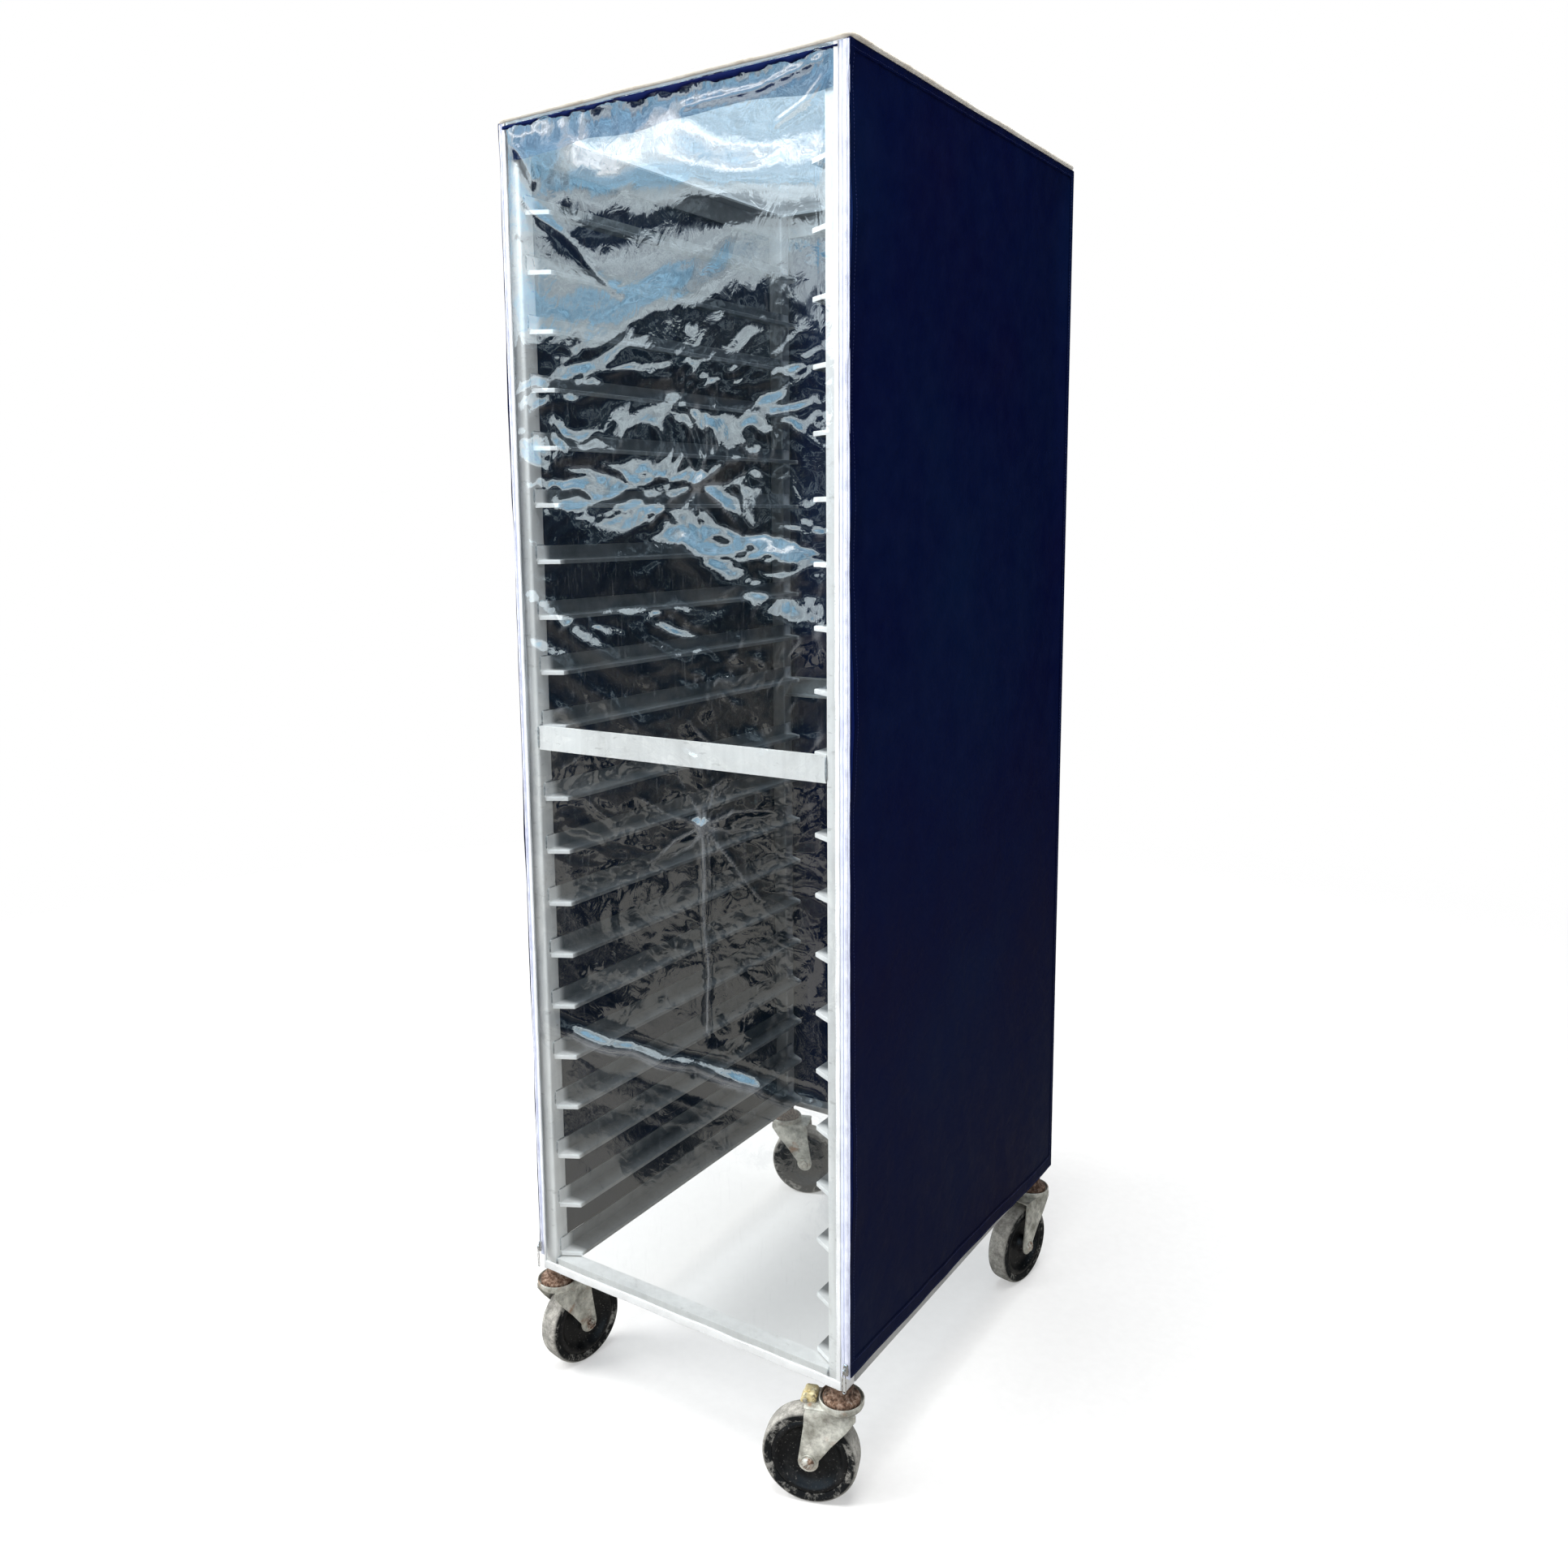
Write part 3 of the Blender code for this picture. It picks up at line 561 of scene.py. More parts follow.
def rod(bm, profile, steps, matrix):
    """Spins an open profile round Z. Its first and last points are on the axis, so their radius is 0."""
    made = [[bm.verts.new(matrix @ Vector((x, y, h))) for x, y in circle(r, steps)] for r, h in profile[1:-1]]
    for near, far in zip(made, made[1:]):
        skin(bm, near, far)
    for ring, (_, height) in ((made[0], profile[0]), (made[-1], profile[-1])):
        tip = bm.verts.new(matrix @ Vector((0, 0, height)))
        for i in range(steps):
            bm.faces.new((ring[i], ring[(i + 1) % steps], tip))


def columns(x, y, z=0.0):
    """Rows of points from columns of coordinates. A plain number fills its column."""
    return np.column_stack(np.broadcast_arrays(x, y, z))


def sampled(points, scale, seed, octaves=3):
    """Smooth noise, about -1 to 1, at each row of points. Scale is in cycles per metre along each axis."""
    shifted = points * np.array(scale) + np.array((seed * 17.31, seed * 5.17, seed * 9.73))
    return np.array([noise.fractal(Vector(p), 0.9, 2.1, octaves) for p in shifted])


def smoothstep(value, low, high):
    t = np.clip((value - low) / (high - low), 0.0, 1.0)
    return t * t * (3 - 2 * t)


def distance_to_line(points, line):
    """Distance from each 2-D point to an open polyline."""
    best = np.full(len(points), 1e9)
    for a, b in zip(line, line[1:]):
        a = np.array(a)
        d = np.array(b) - a
        t = np.clip(((points - a) @ d) / (d @ d), 0.0, 1.0)
        best = np.minimum(best, np.linalg.norm(points - a - t[:, None] * d, axis=1))
    return best


def spaced(low, high, step):
    return np.linspace(low, high, max(2, int(round((high - low) / step)) + 1))


def grid_mesh(us, vs, place, crease=None):
    """A sheet over two lists of coordinates. Place turns columns u and v into points, crease into marks."""
    u, v = (part.ravel() for part in np.meshgrid(us, vs, indexing="ij"))
    index = np.arange(len(u)).reshape(len(us), len(vs))
    corners = (index[:-1, :-1], index[1:, :-1], index[1:, 1:], index[:-1, 1:])
    faces = np.column_stack([corner.ravel() for corner in corners])
    mesh = bpy.data.meshes.new("sheet")
    mesh.from_pydata(place(u, v).tolist(), [], faces.tolist())
    layer = mesh.attributes.new("crease", "FLOAT", "POINT")
    values = crease(u, v) if crease else np.zeros(len(u))
    layer.data.foreach_set("value", values.astype(np.float32))
    return mesh


# ---------------------------------------------------------------- welded frame


def build_post(side, end):
    """Square tube with rounded edges, open at both ends."""
    middle = Vector((side * (RACK_X - POST / 2), end * (RACK_Y - POST / 2), 0))
    half = POST / 2
    outer = round_rect(half, half, 0.0030)
    inner = round_rect(half - POST_WALL, half - POST_WALL, 0.0012)
    stops = ((outer, POST_LOW), (outer, POST_HIGH), (inner, POST_HIGH), (inner, POST_LOW))
    rings = [[middle + Vector((x, y, z)) for x, y in outline] for outline, z in stops]
    word = ("front" if end < 0 else "rear") + ("_right" if side > 0 else "_left")
    # The rear posts take the darker copy of the aluminium, painted shade.
    look = "aluminium" if end < 0 else "shaded aluminium"
    return piece(f"{word}_post", swept_mesh(rings, True), look, "rack", bevel=0.0004)


def runner_ring(side, y, height, reach):
    """The runner's section at one station: leg on the post, ledge inwards, lip turned down."""
    wall = RACK_X - POST
    tip = wall - reach
    thick, leg, lip, bend = 0.0020, 0.0190, 0.0060, 0.0012
    points = [
        (wall, height - thick),
        (wall, height + leg),
        (wall - thick, height + leg),
        (wall - thick, height + bend),
        (wall - thick - bend, height),
        (tip + 0.0010, height),
        (tip, height - 0.0010),
        (tip, height - lip),
        (tip + thick * 0.8, height - lip),
        (tip + thick * 0.8, height - thick),
    ]
    return [(side * x, y, z) for x, z in points]


def build_runner(word, side, index, height):
    """One formed-angle runner, from post to post. Its ends are cut back so that pans slide in easily."""
    reach = RACK_X - POST - LEDGE_TIP
    cut, root, steps = 0.0150, 0.0028, 5
    stations = []
    for step in range(steps + 1):
        t = step / steps
        curve = 0.94 * t + 0.06 * math.sin(math.pi / 2 * t)
        stations.append((RUNNER_END - cut * t, root + (reach - root) * curve))
    ends = [(-y, r) for y, r in stations] + [(y, r) for y, r in reversed(stations)]
    mesh = swept_mesh([runner_ring(side, y, height, r) for y, r in ends])
    name = f"{word}_runner_{index + 1:02d}"
    return piece(name, mesh, "runner aluminium", "rack", bevel=0.0003)


def add_bead(bm, start, end, radius, pitch=0.0024):
    """A row of overlapping weld ripples."""
    start, end = Vector(start), Vector(end)
    along = end - start
    steps = max(6, int(along.length / pitch * 4))
    ex = along.orthogonal().normalized()
    ey = along.normalized().cross(ex)
    rings = []
    for k in range(steps + 1):
        t = k / steps
        ripple = 1 + 0.16 * math.cos(2 * math.pi * t * along.length / pitch)
        taper = math.sqrt(max(0.02, 1 - abs(2 * t - 1) ** 6))
        r = radius * ripple * taper
        rings.append([start + along * t + ex * x * r + ey * y * r for x, y in circle(1.0, 8)])
    swept(bm, rings)


def build_welds(word, side):
    """Beads where the runners, crossbars and rails meet the posts of one side."""
    wall = side * (RACK_X - POST)
    bm = bmesh.new()
    for height in LEDGES:
        top = height + 0.0192
        for end in (-1, 1):
            y = end * RUNNER_END
            add_bead(bm, (wall, y, height + 0.001), (wall, y, height + 0.019), 0.0016)
            y = end * (RACK_Y - POST)
            add_bead(bm, (wall, y, top), (wall, y + end * 0.016, top), 0.0014)
    for node in ("middle_front_crossbar", "middle_rear_crossbar", "bottom_front_rail", "bottom_rear_rail"):
        low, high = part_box(node)
        face = low.y if low.y < -0.1 else high.y
        add_bead(bm, (wall, face, low.z + 0.002), (wall, face, high.z - 0.001), 0.0017)
        add_bead(bm, (wall, face * 0.995, high.z), (wall, face * 0.965, high.z), 0.0016)
    return piece(f"{word}_frame_welds", mesh_of(bm), "weld", "rack", sharp=80)


def build_frame():
    for word, side in SIDES:
        posts = [build_post(side, end) for end in (-1, 1)]
        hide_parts(f"{word}_side_frame")
        for index, height in enumerate(LEDGES):
            build_runner(word, side, index, height)
        build_welds(word, side)
    for name, thing in frame["nodes"].items():
        # Front rails and crossbars are bright aluminium; the others take the darker copy, painted shade.
        if name.endswith(("_rail", "_crossbar")):
            finish_surface(thing, "aluminium" if "front" in name else "shaded aluminium", 0.0010)


# ---------------------------------------------------------------- casters


def axes_matrix(x, y, z, origin):
    """Local axes and an origin as a matrix."""
    matrix = Matrix((x, y, z)).transposed().to_4x4()
    matrix.translation = origin
    return matrix


def axle_matrix(corner):
    """Puts local Z along the axle, local X up, with the origin at the wheel's centre."""
    joint = JOINTS[f"{corner}_wheel_spin"]
    axis = Vector(joint["axis"]).normalized()
    up = Vector((0, 0, 1))
    return axes_matrix(up, axis.cross(up), axis, Vector(joint["pos_m"]))


def swivel_matrix(corner):
    """Local X trails towards the wheel, local Z is up, and the origin is on the floor under the swivel."""
    post = Vector(JOINTS[f"{corner}_swivel_turn"]["pos_m"])
    wheel = Vector(JOINTS[f"{corner}_wheel_spin"]["pos_m"])
    along = (wheel - post).xy.to_3d().normalized()
    up = Vector((0, 0, 1))
    return axes_matrix(along, up.cross(along), up, (post.x, post.y, 0))


def mirrored(half):
    """A closed profile from its half with height above 0."""
    return half + [(r, -h) for r, h in reversed(half)]


# Profiles of turned parts, as (radius, height). The wheel's start from its middle, and the dish's and the
# stem's from the floor.
TREAD = mirrored([(0.0505, 0.0140), (0.0555, 0.0156), (0.0590, 0.0158), (0.0612, 0.0150), (0.0627, 0.0132),
                  (0.0634, 0.0100), (0.0635, 0.0045)])
CORE = mirrored([(0.0063, 0.0172), (0.0088, 0.0172), (0.0105, 0.0164), (0.0118, 0.0140), (0.0128, 0.0092),
                 (0.0160, 0.0068), (0.0225, 0.0060), (0.0300, 0.0058), (0.0345, 0.0064), (0.0385, 0.0084),
                 (0.0418, 0.0118), (0.0438, 0.0142), (0.0462, 0.0150), (0.0482, 0.0148), (0.0500, 0.0138)])
DISH = [(0.0070, 0.1367), (0.0256, 0.1367), (0.0280, 0.1378), (0.0291, 0.1405), (0.0294, 0.1466),
        (0.0287, 0.1478), (0.0277, 0.1470), (0.0272, 0.1412), (0.0258, 0.1397), (0.0070, 0.1397)]
WASHER = [(0.0044, -WASHER_HALF), (0.0100, -WASHER_HALF), (0.0104, 0.0), (0.0100, WASHER_HALF),
          (0.0044, WASHER_HALF)]
STEM = [(0, 0.1296), (0.0058, 0.1296), (0.0082, 0.1306), (0.0090, 0.1325), (0.0090, 0.1360), (0.0064, 0.1364),
        (0.0064, 0.1401), (0.0225, 0.1402), (0.0242, 0.1408), (0.0246, 0.1425), (0.0246, 0.1474),
        (0.0238, 0.1492), (0.0212, 0.1506), (0.0176, 0.1516), (0.0158, 0.1526), (0.0150, 0.1544),
        (0.0150, 0.1645), (0.0055, 0.1647), (0.0055, 0.2195), (0.0048, 0.2205), (0, 0.2205)]
# The bolt's heights are from the outer face of the cheek: its tail below one, its head above the other.
BOLT_TAIL = [(0, -0.0072), (0.0034, -0.0072), (0.0040, -0.0066)]
BOLT_HEAD = [(0.0040, 0.0), (0.0078, 0.0), (0.0082, 0.0008), (0.0074, 0.0030), (0.0052, 0.0046),
             (0.0024, 0.0052), (0, 0.0053)]
# The lever's outline: x trails from its pin, and z is up.
LEVER = [(-0.0130, -0.0046), (-0.0150, 0.0030), (-0.0142, 0.0074), (-0.0110, 0.0092), (0.0004, 0.0090),
         (0.0030, 0.0072), (0.0042, 0.0022), (0.0066, -0.0010), (0.0070, -0.0040), (0.0050, -0.0058)]


def build_wheel(corner):
    """Worn tyre round a wheel centre. The tyre's tread is marked for its ground-in dust."""
    place = axle_matrix(corner)
    body = f"{corner}_wheel"
    bm = bmesh.new()
    lathe(bm, TREAD, 80, place)
    tyre = mesh_of(bm)
    centre, axis = place.translation, place.col[2].xyz
    radii = [((v.co - centre) - axis * (v.co - centre).dot(axis)).length for v in tyre.vertices]
    mark = tyre.attributes.new("tread", "FLOAT", "POINT")
    mark.data.foreach_set("value", smoothstep(np.array(radii), 0.0600, 0.0618))
    piece(f"{corner}_worn_tyre", tyre, "tyre", body, [f"{corner}_tyre"], sharp=50)
    bm = bmesh.new()
    lathe(bm, CORE, 80, place)
    core = mesh_of(bm)
    piece(f"{corner}_wheel_centre", core, "wheel", body, [f"{corner}_wheel_core"], sharp=50)


def leg_outline():
    """One fork cheek seen along the axle: x trails from the swivel, z is up."""
    points = [(-0.0215, 0.1300), (-0.0215, 0.1378), (0.0430, 0.1378), (0.0455, 0.1290), (0.0462, 0.1130)]
    boss = 0.0135
    for step in range(13):
        turn = math.radians(12 - 17 * step)
        points.append((TRAIL + boss * math.cos(turn), WHEEL_RADIUS + boss * math.sin(turn)))
    return points + [(0.0110, 0.0880), (-0.0100, 0.1130)]


def add_cheek(bm, side, place):
    """A cheek of pressed sheet with slightly rounded faces."""
    centre = Vector((0.020, 0.105))
    rings = []
    for depth, inset in ((0.0195, 0.0006), (0.0199, 0.0), (0.0221, 0.0), (0.0225, 0.0006)):
        pulled = [centre + (Vector(point) - centre) * (1 - inset / 0.03) for point in leg_outline()]
        rings.append([place @ Vector((point.x, side * depth, point.y)) for point in pulled])
    swept(bm, rings)


def add_lever_holder(bm, place):
    """Ears and pin that carry the brake lever."""
    for side in (-1, 1):
        rings = []
        for depth in (0.0109, 0.0129):
            ear = round_rect(0.0030, 0.0030, 0.0022)
            points = [(LEVER_PIN_TRAIL + x, side * depth, LEVER_PIN_Z - 0.0011 + z) for x, z in ear]
            rings.append([place @ Vector(point) for point in points])
        swept(bm, rings)
    pin = place @ Matrix.Translation((LEVER_PIN_TRAIL, 0, LEVER_PIN_Z))
    across = pin @ Matrix.Rotation(math.radians(90), 4, "X")
    rod(bm, [(0, -0.0138), (0.0011, -0.0138), (0.0011, 0.0138), (0, 0.0138)], 12, across)


def build_fork(corner):
    """Raceway dish, two cheeks with washers, and the top plate between them."""
    place = swivel_matrix(corner)
    bm = bmesh.new()
    lathe(bm, DISH, 64, place)
    for side in (-1, 1):
        add_cheek(bm, side, place)
    plate = round_rect(0.0165, 0.0225, 0.0035)
    levels = ((0.1366, 0.96), (0.1372, 1.0), (0.1390, 1.0), (0.1396, 0.96))
    stack(bm, plate, levels, place @ Matrix.Translation((0.0295, 0, 0)))
    for side in (-1, 1):
        washer = axle_matrix(corner) @ Matrix.Translation((0, 0, side * (CHEEK_FACE - WASHER_HALF)))
        lathe(bm, WASHER, 32, washer)
    if corner.startswith("front"):
        add_lever_holder(bm, place)
    body = f"{corner}_swivel"
    piece(f"{corner}_pressed_fork", mesh_of(bm), "galvanised", body, [f"{corner}_fork"])


def build_stem(corner):
    """Kingpin, upper raceway cup, collar and stem."""
    bm = bmesh.new()
    rod(bm, STEM, 48, swivel_matrix(corner))
    name, node = f"{corner}_raceway_and_stem", f"{corner}_caster_stem"
    piece(name, mesh_of(bm), "rusty cup", "rack", [node], sharp=50)


def build_axle(corner):
    """Bolt with a domed head, and a nut on the other cheek."""
    place = axle_matrix(corner)
    tail = [(r, h - CHEEK_FACE) for r, h in BOLT_TAIL]
    head = [(r, h + CHEEK_FACE) for r, h in BOLT_HEAD]
    bm = bmesh.new()
    rod(bm, tail + head, 32, place)
    nut = ((0.0, 0.94), (-0.0008, 1.0), (-0.0046, 1.0), (-0.0054, 0.92))
    stack(bm, circle(0.0074, 6), [(h - CHEEK_FACE, size) for h, size in nut], place)
    name, node = f"{corner}_axle_and_nut", f"{corner}_axle_bolt"
    piece(name, mesh_of(bm), "rusty bolt", f"{corner}_swivel", [node])


def build_lever(corner):
    """Brake lever of bent sheet: a foot tab, and a tread plate that stands behind the raceway."""
    place = swivel_matrix(corner)
    place.translation = Vector(JOINTS[f"{corner}_brake_press"]["pos_m"])
    across = (-0.0100, -0.0050, 0.0050, 0.0100)
    mesh = swept_mesh([[place @ Vector((x, y, z)) for x, z in LEVER] for y in across])
    name, node = f"{corner}_bent_lever", f"{corner}_brake_lever"
    piece(name, mesh, "zinc", f"{corner}_brake", [node], bevel=0.0012)


def build_casters():
    for corner in CORNERS:
        build_wheel(corner)
        build_fork(corner)
        build_stem(corner)
        build_axle(corner)
        finish_surface(frame["nodes"][f"{corner}_wheel_bushing"], "galvanised", 0.0)
        finish_surface(frame["nodes"][f"{corner}_stem_expander"], "rubber", 0.0006)
        if corner.startswith("front"):
            build_lever(corner)


# ---------------------------------------------------------------- cloth and vinyl

STITCH_PITCH = 0.0042
STITCH_LENGTH = 0.0031
HEM = 0.0220
HEAD_SEAM = 0.0120
EDGE_SEAM = 0.0100


def straight_stitches(start, end):
    """The two ends of every stitch along a straight line."""
    start, end = Vector(start), Vector(end)
    direction = (end - start).normalized()
    count = int((end - start).length / STITCH_PITCH)
    first = [start + direction * k * STITCH_PITCH for k in range(count)]
    return [(point, point + direction * STITCH_LENGTH) for point in first]


def stitch_row(place, start, end, lift):
    """Stitches along a straight line of a panel's flat coordinates, lifted off its surface."""
    start, end = np.array(start), np.array(end)
    length = np.linalg.norm(end - start)
    direction = (end - start) / length
    at = np.arange(0.0, length - STITCH_LENGTH, STITCH_PITCH)[:, None]
    near, far = (place(*(start + direction * along).T) + lift for along in (at, at + STITCH_LENGTH))
    return [(Vector(a), Vector(b)) for a, b in zip(near, far)]


def stitched(name, pairs, look, body, radius=0.00035):
    """A thin spindle of thread for every stitch."""
    bm = bmesh.new()
    for start, end in pairs:
        direction = (end - start).normalized()
        side = direction.orthogonal().normalized()
        up = direction.cross(side)
        tips = (bm.verts.new(start), bm.verts.new(end))
        made = [bm.verts.new((start + end) / 2 + side * a + up * b) for a, b in circle(radius, 5)]
        for i in range(5):
            j = (i + 1) % 5
            bm.faces.new((made[i], made[j], tips[1]))
            bm.faces.new((made[j], made[i], tips[0]))
    return piece(name, mesh_of(bm), look, body, sharp=80)


def panel_seams(name, place, left, right, lift):
    """Hem, turned edges and rows of stitching for a navy panel that spans two flat coordinates."""
    lift = np.array(lift)
    wide, tall = spaced(left, right, 0.006), spaced(COVER_LOW, COVER_HIGH - 0.001, 0.006)
    strips = {
        "hem": (wide, spaced(COVER_LOW, COVER_LOW + HEM, 0.0055)),
        "head_seam": (wide, spaced(COVER_HIGH - HEAD_SEAM, COVER_HIGH - 0.001, 0.0055)),
        "first_seam": (spaced(left, left + EDGE_SEAM, 0.005), tall),
        "second_seam": (spaced(right - EDGE_SEAM, right, 0.005), tall),
    }
    made = []
    for word, (us, vs) in strips.items():
        mesh = grid_mesh(us, vs, lambda u, v: place(u, v) + lift)
        made.append(piece(f"{name}_{word}", mesh, "navy", "rack"))
    pairs = []
    for z in (COVER_LOW + 0.003, COVER_LOW + HEM - 0.003, COVER_HIGH - 0.0095):
        pairs += stitch_row(place, (left, z), (right, z), 1.5 * lift)
    for u in (left + EDGE_SEAM - 0.002, right - EDGE_SEAM + 0.002):
        pairs += stitch_row(place, (u, COVER_LOW + HEM), (u, COVER_HIGH - HEAD_SEAM), 1.5 * lift)
    return made + [stitched(f"{name}_stitches", pairs, "navy thread", "rack")]


def panel_bulge(along, z, seed, slack):
    """How far a cloth side panel stands out from flat, at each distance from the front and height."""
    points = columns(along, z)
    broad = sampled(points, (2.2, 1.1, 1.0), seed, 2) * 0.0050
    folds = np.abs(sampled(columns(along + 0.25 * z, z), (6.0, 0.9, 1.0), seed + 1, 2)) * -0.0034
    from_top = COVER_HIGH - z
    pucker = np.cos(along * 2 * math.pi / 0.031 + sampled(points, (6, 0, 0), seed + 2, 1) * 4)
    pucker = pucker * 0.0007 * np.exp(-from_top / 0.020)
    held = smoothstep(along, 0.0, 0.05) * smoothstep(COVER_DEPTH - along, 0.0, 0.05)
    held = held * smoothstep(from_top, 0.0, 0.06)
    return held * slack * (broad + folds - 0.0010) + pucker * smoothstep(from_top, 0.0, 0.004)


def hem_height(along):
    """The side panels' lower edge: the cover hangs a little lower at the back."""
    return COVER_LOW + 0.0030 - 0.0130 * np.clip(along / COVER_DEPTH, 0, 1)


def corner_sway(heights, side):
    """The zipper pulls the cover's front corner in and out by a few millimetres on its way down."""
    return sampled(columns(side * 3.0, 0.0, heights), (1, 1, 5.5), 71, 3) * 0.0062


def side_panel(word, side):
    """One navy side. It turns the corner at the front and the back by a seam's width."""
    seed, slack = (3, 1.0) if side > 0 else (11, 1.9)
    turn = 0.0050

    def place(u, v):
        along = np.clip(u, 0.0, COVER_DEPTH)
        past = np.maximum(-u, u - COVER_DEPTH).clip(0.0)
        share = (v - COVER_LOW) / (COVER_HIGH - COVER_LOW)
        low = hem_height(along)
        z = low + share * (COVER_HIGH - low)
        at_corner = (1 - smoothstep(along, 0.0, 0.05)) * smoothstep(COVER_HIGH - z, 0.0, 0.05)
        sway = corner_sway(z, side) * at_corner
        x = side * (COVER_X - 0.0006 + panel_bulge(along, v, seed, slack) + sway - past)
        y = along - COVER_Y + np.where(u < 0, 0.0011, -0.0011) * (past > 0)
        return columns(x, y, z)

    spread = spaced(0, COVER_DEPTH, 0.006)
    around = np.concatenate(((-turn, -0.0008), spread, (COVER_DEPTH + 0.0008, COVER_DEPTH + turn)))
    mesh = grid_mesh(around, spaced(COVER_LOW, COVER_HIGH, 0.006), place)
    panel = piece(f"{word}_navy_panel", mesh, "navy", "rack", [f"{word}_cover_panel"])
    seams = panel_seams(f"{word}_navy", place, 0.0, COVER_DEPTH, (side * 0.0007, 0.0, 0.0))


def back_panel():
    """The navy back, which waves a little more than the sides and hangs a little lower."""

    def place(x, v):
        points = columns(x, v)
        from_top = COVER_HIGH - v
        held = smoothstep(COVER_X - np.abs(x), 0.0, 0.05) * smoothstep(from_top, 0.0, 0.06)
        wave = sampled(points, (2.6, 1.2, 1.0), 21, 2) * 0.0080
        wave -= np.abs(sampled(points, (6, 1.1, 1), 22, 2)) * 0.0070
        return columns(x, COVER_Y - 0.0006 + held * (wave - 0.001), v - 0.0095 * smoothstep(from_top, 0, 1.6))

    reach = COVER_X - 0.0006
    mesh = grid_mesh(spaced(-reach, reach, 0.006), spaced(COVER_LOW, COVER_HIGH, 0.006), place)
    panel = piece("back_navy_panel", mesh, "navy", "rack", ["back_cover_panel"])
    seams = panel_seams("back_navy", place, -reach, reach, (0.0, 0.0007, 0.0))


def top_sheet():
    """Clear top: it sags between the rails, swells over the front rail and crinkles towards its seams."""

    def rise(x, y):
        edge = np.minimum(COVER_X - np.abs(x), COVER_Y - np.abs(y))
        sag = -0.007 * smoothstep(edge, 0.02, 0.16)
        crumple = sampled(columns(x, y), (9, 7, 1), 31, 4) * 0.0050 * smoothstep(edge, 0.0, 0.04)
        front = np.exp(-(((y + COVER_Y) - 0.035) / 0.03) ** 2)
        return sag + crumple + front * 0.0150 * smoothstep(COVER_X - np.abs(x), 0.01, 0.09)

    def place(x, y):
        return columns(x, y, COVER_HIGH - 0.0006 + rise(x, y))

    def crease(x, y):
        return np.clip(np.abs(np.gradient(rise(x, y))) * 250 - 0.15, 0, 1) * 0.5

    reach_x, reach_y = COVER_X - 0.0012, COVER_Y - 0.0012
    mesh = grid_mesh(spaced(-reach_x, reach_x, 0.005), spaced(-reach_y, reach_y, 0.005), place, crease)
    top = piece("clear_top_sheet", mesh, "top vinyl", "rack", ["top_cover_panel"])


def piping_path():
    """Once round the top edge, with small rounded corners."""
    points = [Vector(point) for point in round_rect(COVER_X - 0.0010, COVER_Y - 0.0004, 0.012, 8)]
    dense = []
    for a, b in zip(points, points[1:] + points[:1]):
        steps = max(1, int((b - a).length / 0.008))
        dense += [a.lerp(b, k / steps) for k in range(steps)]
    return dense


def build_piping():
    """Corded piping, sewn on with a little up and down."""
    path = piping_path()
    count = len(path)
    rings = []
    for k, point in enumerate(path):
        along = (path[(k + 1) % count] - path[k - 1]).normalized()
        out = Vector((along.y, -along.x, 0))
        height = COVER_HIGH + PIPING_RADIUS - 0.0006
        height += 0.0012 * noise.noise(Vector((point.x * 9, point.y * 9, 2.0)))
        radius = PIPING_RADIUS * (1 + 0.08 * noise.noise(Vector((point.x * 60, point.y * 60, 7.0))))
        sway = 0.0008 * noise.noise(Vector((point.x * 14, 5, point.y * 14)))
        centre = Vector((point.x, point.y, height)) + out * sway
        rings.append([centre + out * a + Vector((0, 0, b)) for a, b in circle(radius, 12)])
    nodes = [f"{word}_top_piping" for word in ("front", "back", "left", "right")]
    piece("cream_top_piping", swept_mesh(rings, True), "piping", "rack", nodes, sharp=80)


# ---------------------------------------------------------------- front flap

# The cover was once folded away in packing squares, so creases cross where those folds met.
PACKING_FOLD_X = 0.055
STARS_Z = ((1.310, 0.10, 0.0026), (0.880, 0.12, 0.0030))  # height, reach and depth of each crossing
STAR_RAYS = 9
# Soft folds across the flap, each a line of (x, z) with the height and half-width of its swell.
SOFT_FOLDS = (
    (((-0.25, 1.758), (-0.10, 1.700), (0.05, 1.668)), 0.0030, 0.038),
    (((-0.12, 1.672), (0.05, 1.650), (0.25, 1.632)), 0.0062, 0.045),
    (((-0.25, 1.520), (-0.05, 1.500), (0.12, 1.545), (0.25, 1.530)), 0.0022, 0.045),
    (((0.03, 1.232), (0.09, 1.190), (0.15, 1.148), (0.225, 1.120)), 0.0048, 0.021),
    (((-0.25, 1.345), (-0.12, 1.355), (-0.01, 1.375)), 0.0030, 0.022),
    (((-0.25, 1.100), (-0.10, 1.030), (0.05, 0.955)), 0.0022, 0.013),
    (((-0.25, 1.155), (-0.13, 1.095), (-0.03, 1.062)), 0.0024, 0.014),
    (((-0.25, 1.050), (-0.13, 0.985)), 0.0018, 0.010),
    (((-0.25, 0.556), (-0.11, 0.545), (0.25, 0.534)), 0.0060, 0.0200),
    (((-0.17, 0.556), (-0.11, 0.544), (-0.07, 0.549), (-0.02, 0.541), (0.03, 0.552), (0.08, 0.542),
      (0.13, 0.545)), 0.0034, 0.0100),
)
# Sharp creases, in the same form.
SHARP_CREASES = (
    (((-0.245, 1.715), (-0.16, 1.640), (-0.06, 1.550)), 0.0009, 0.0060),
    (((-0.248, 1.768), (-0.21, 1.735), (-0.19, 1.700)), 0.0022, 0.0060),
    (((0.248, 1.768), (0.15, 1.748), (0.05, 1.744)), 0.0014, 0.0050),
    (((0.248, 1.760), (0.215, 1.722), (0.18, 1.705)), 0.0012, 0.0060),
    (((PACKING_FOLD_X, 0.900), (PACKING_FOLD_X + 0.004, 0.740), (PACKING_FOLD_X, 0.600)), 0.0022, 0.0040),
)


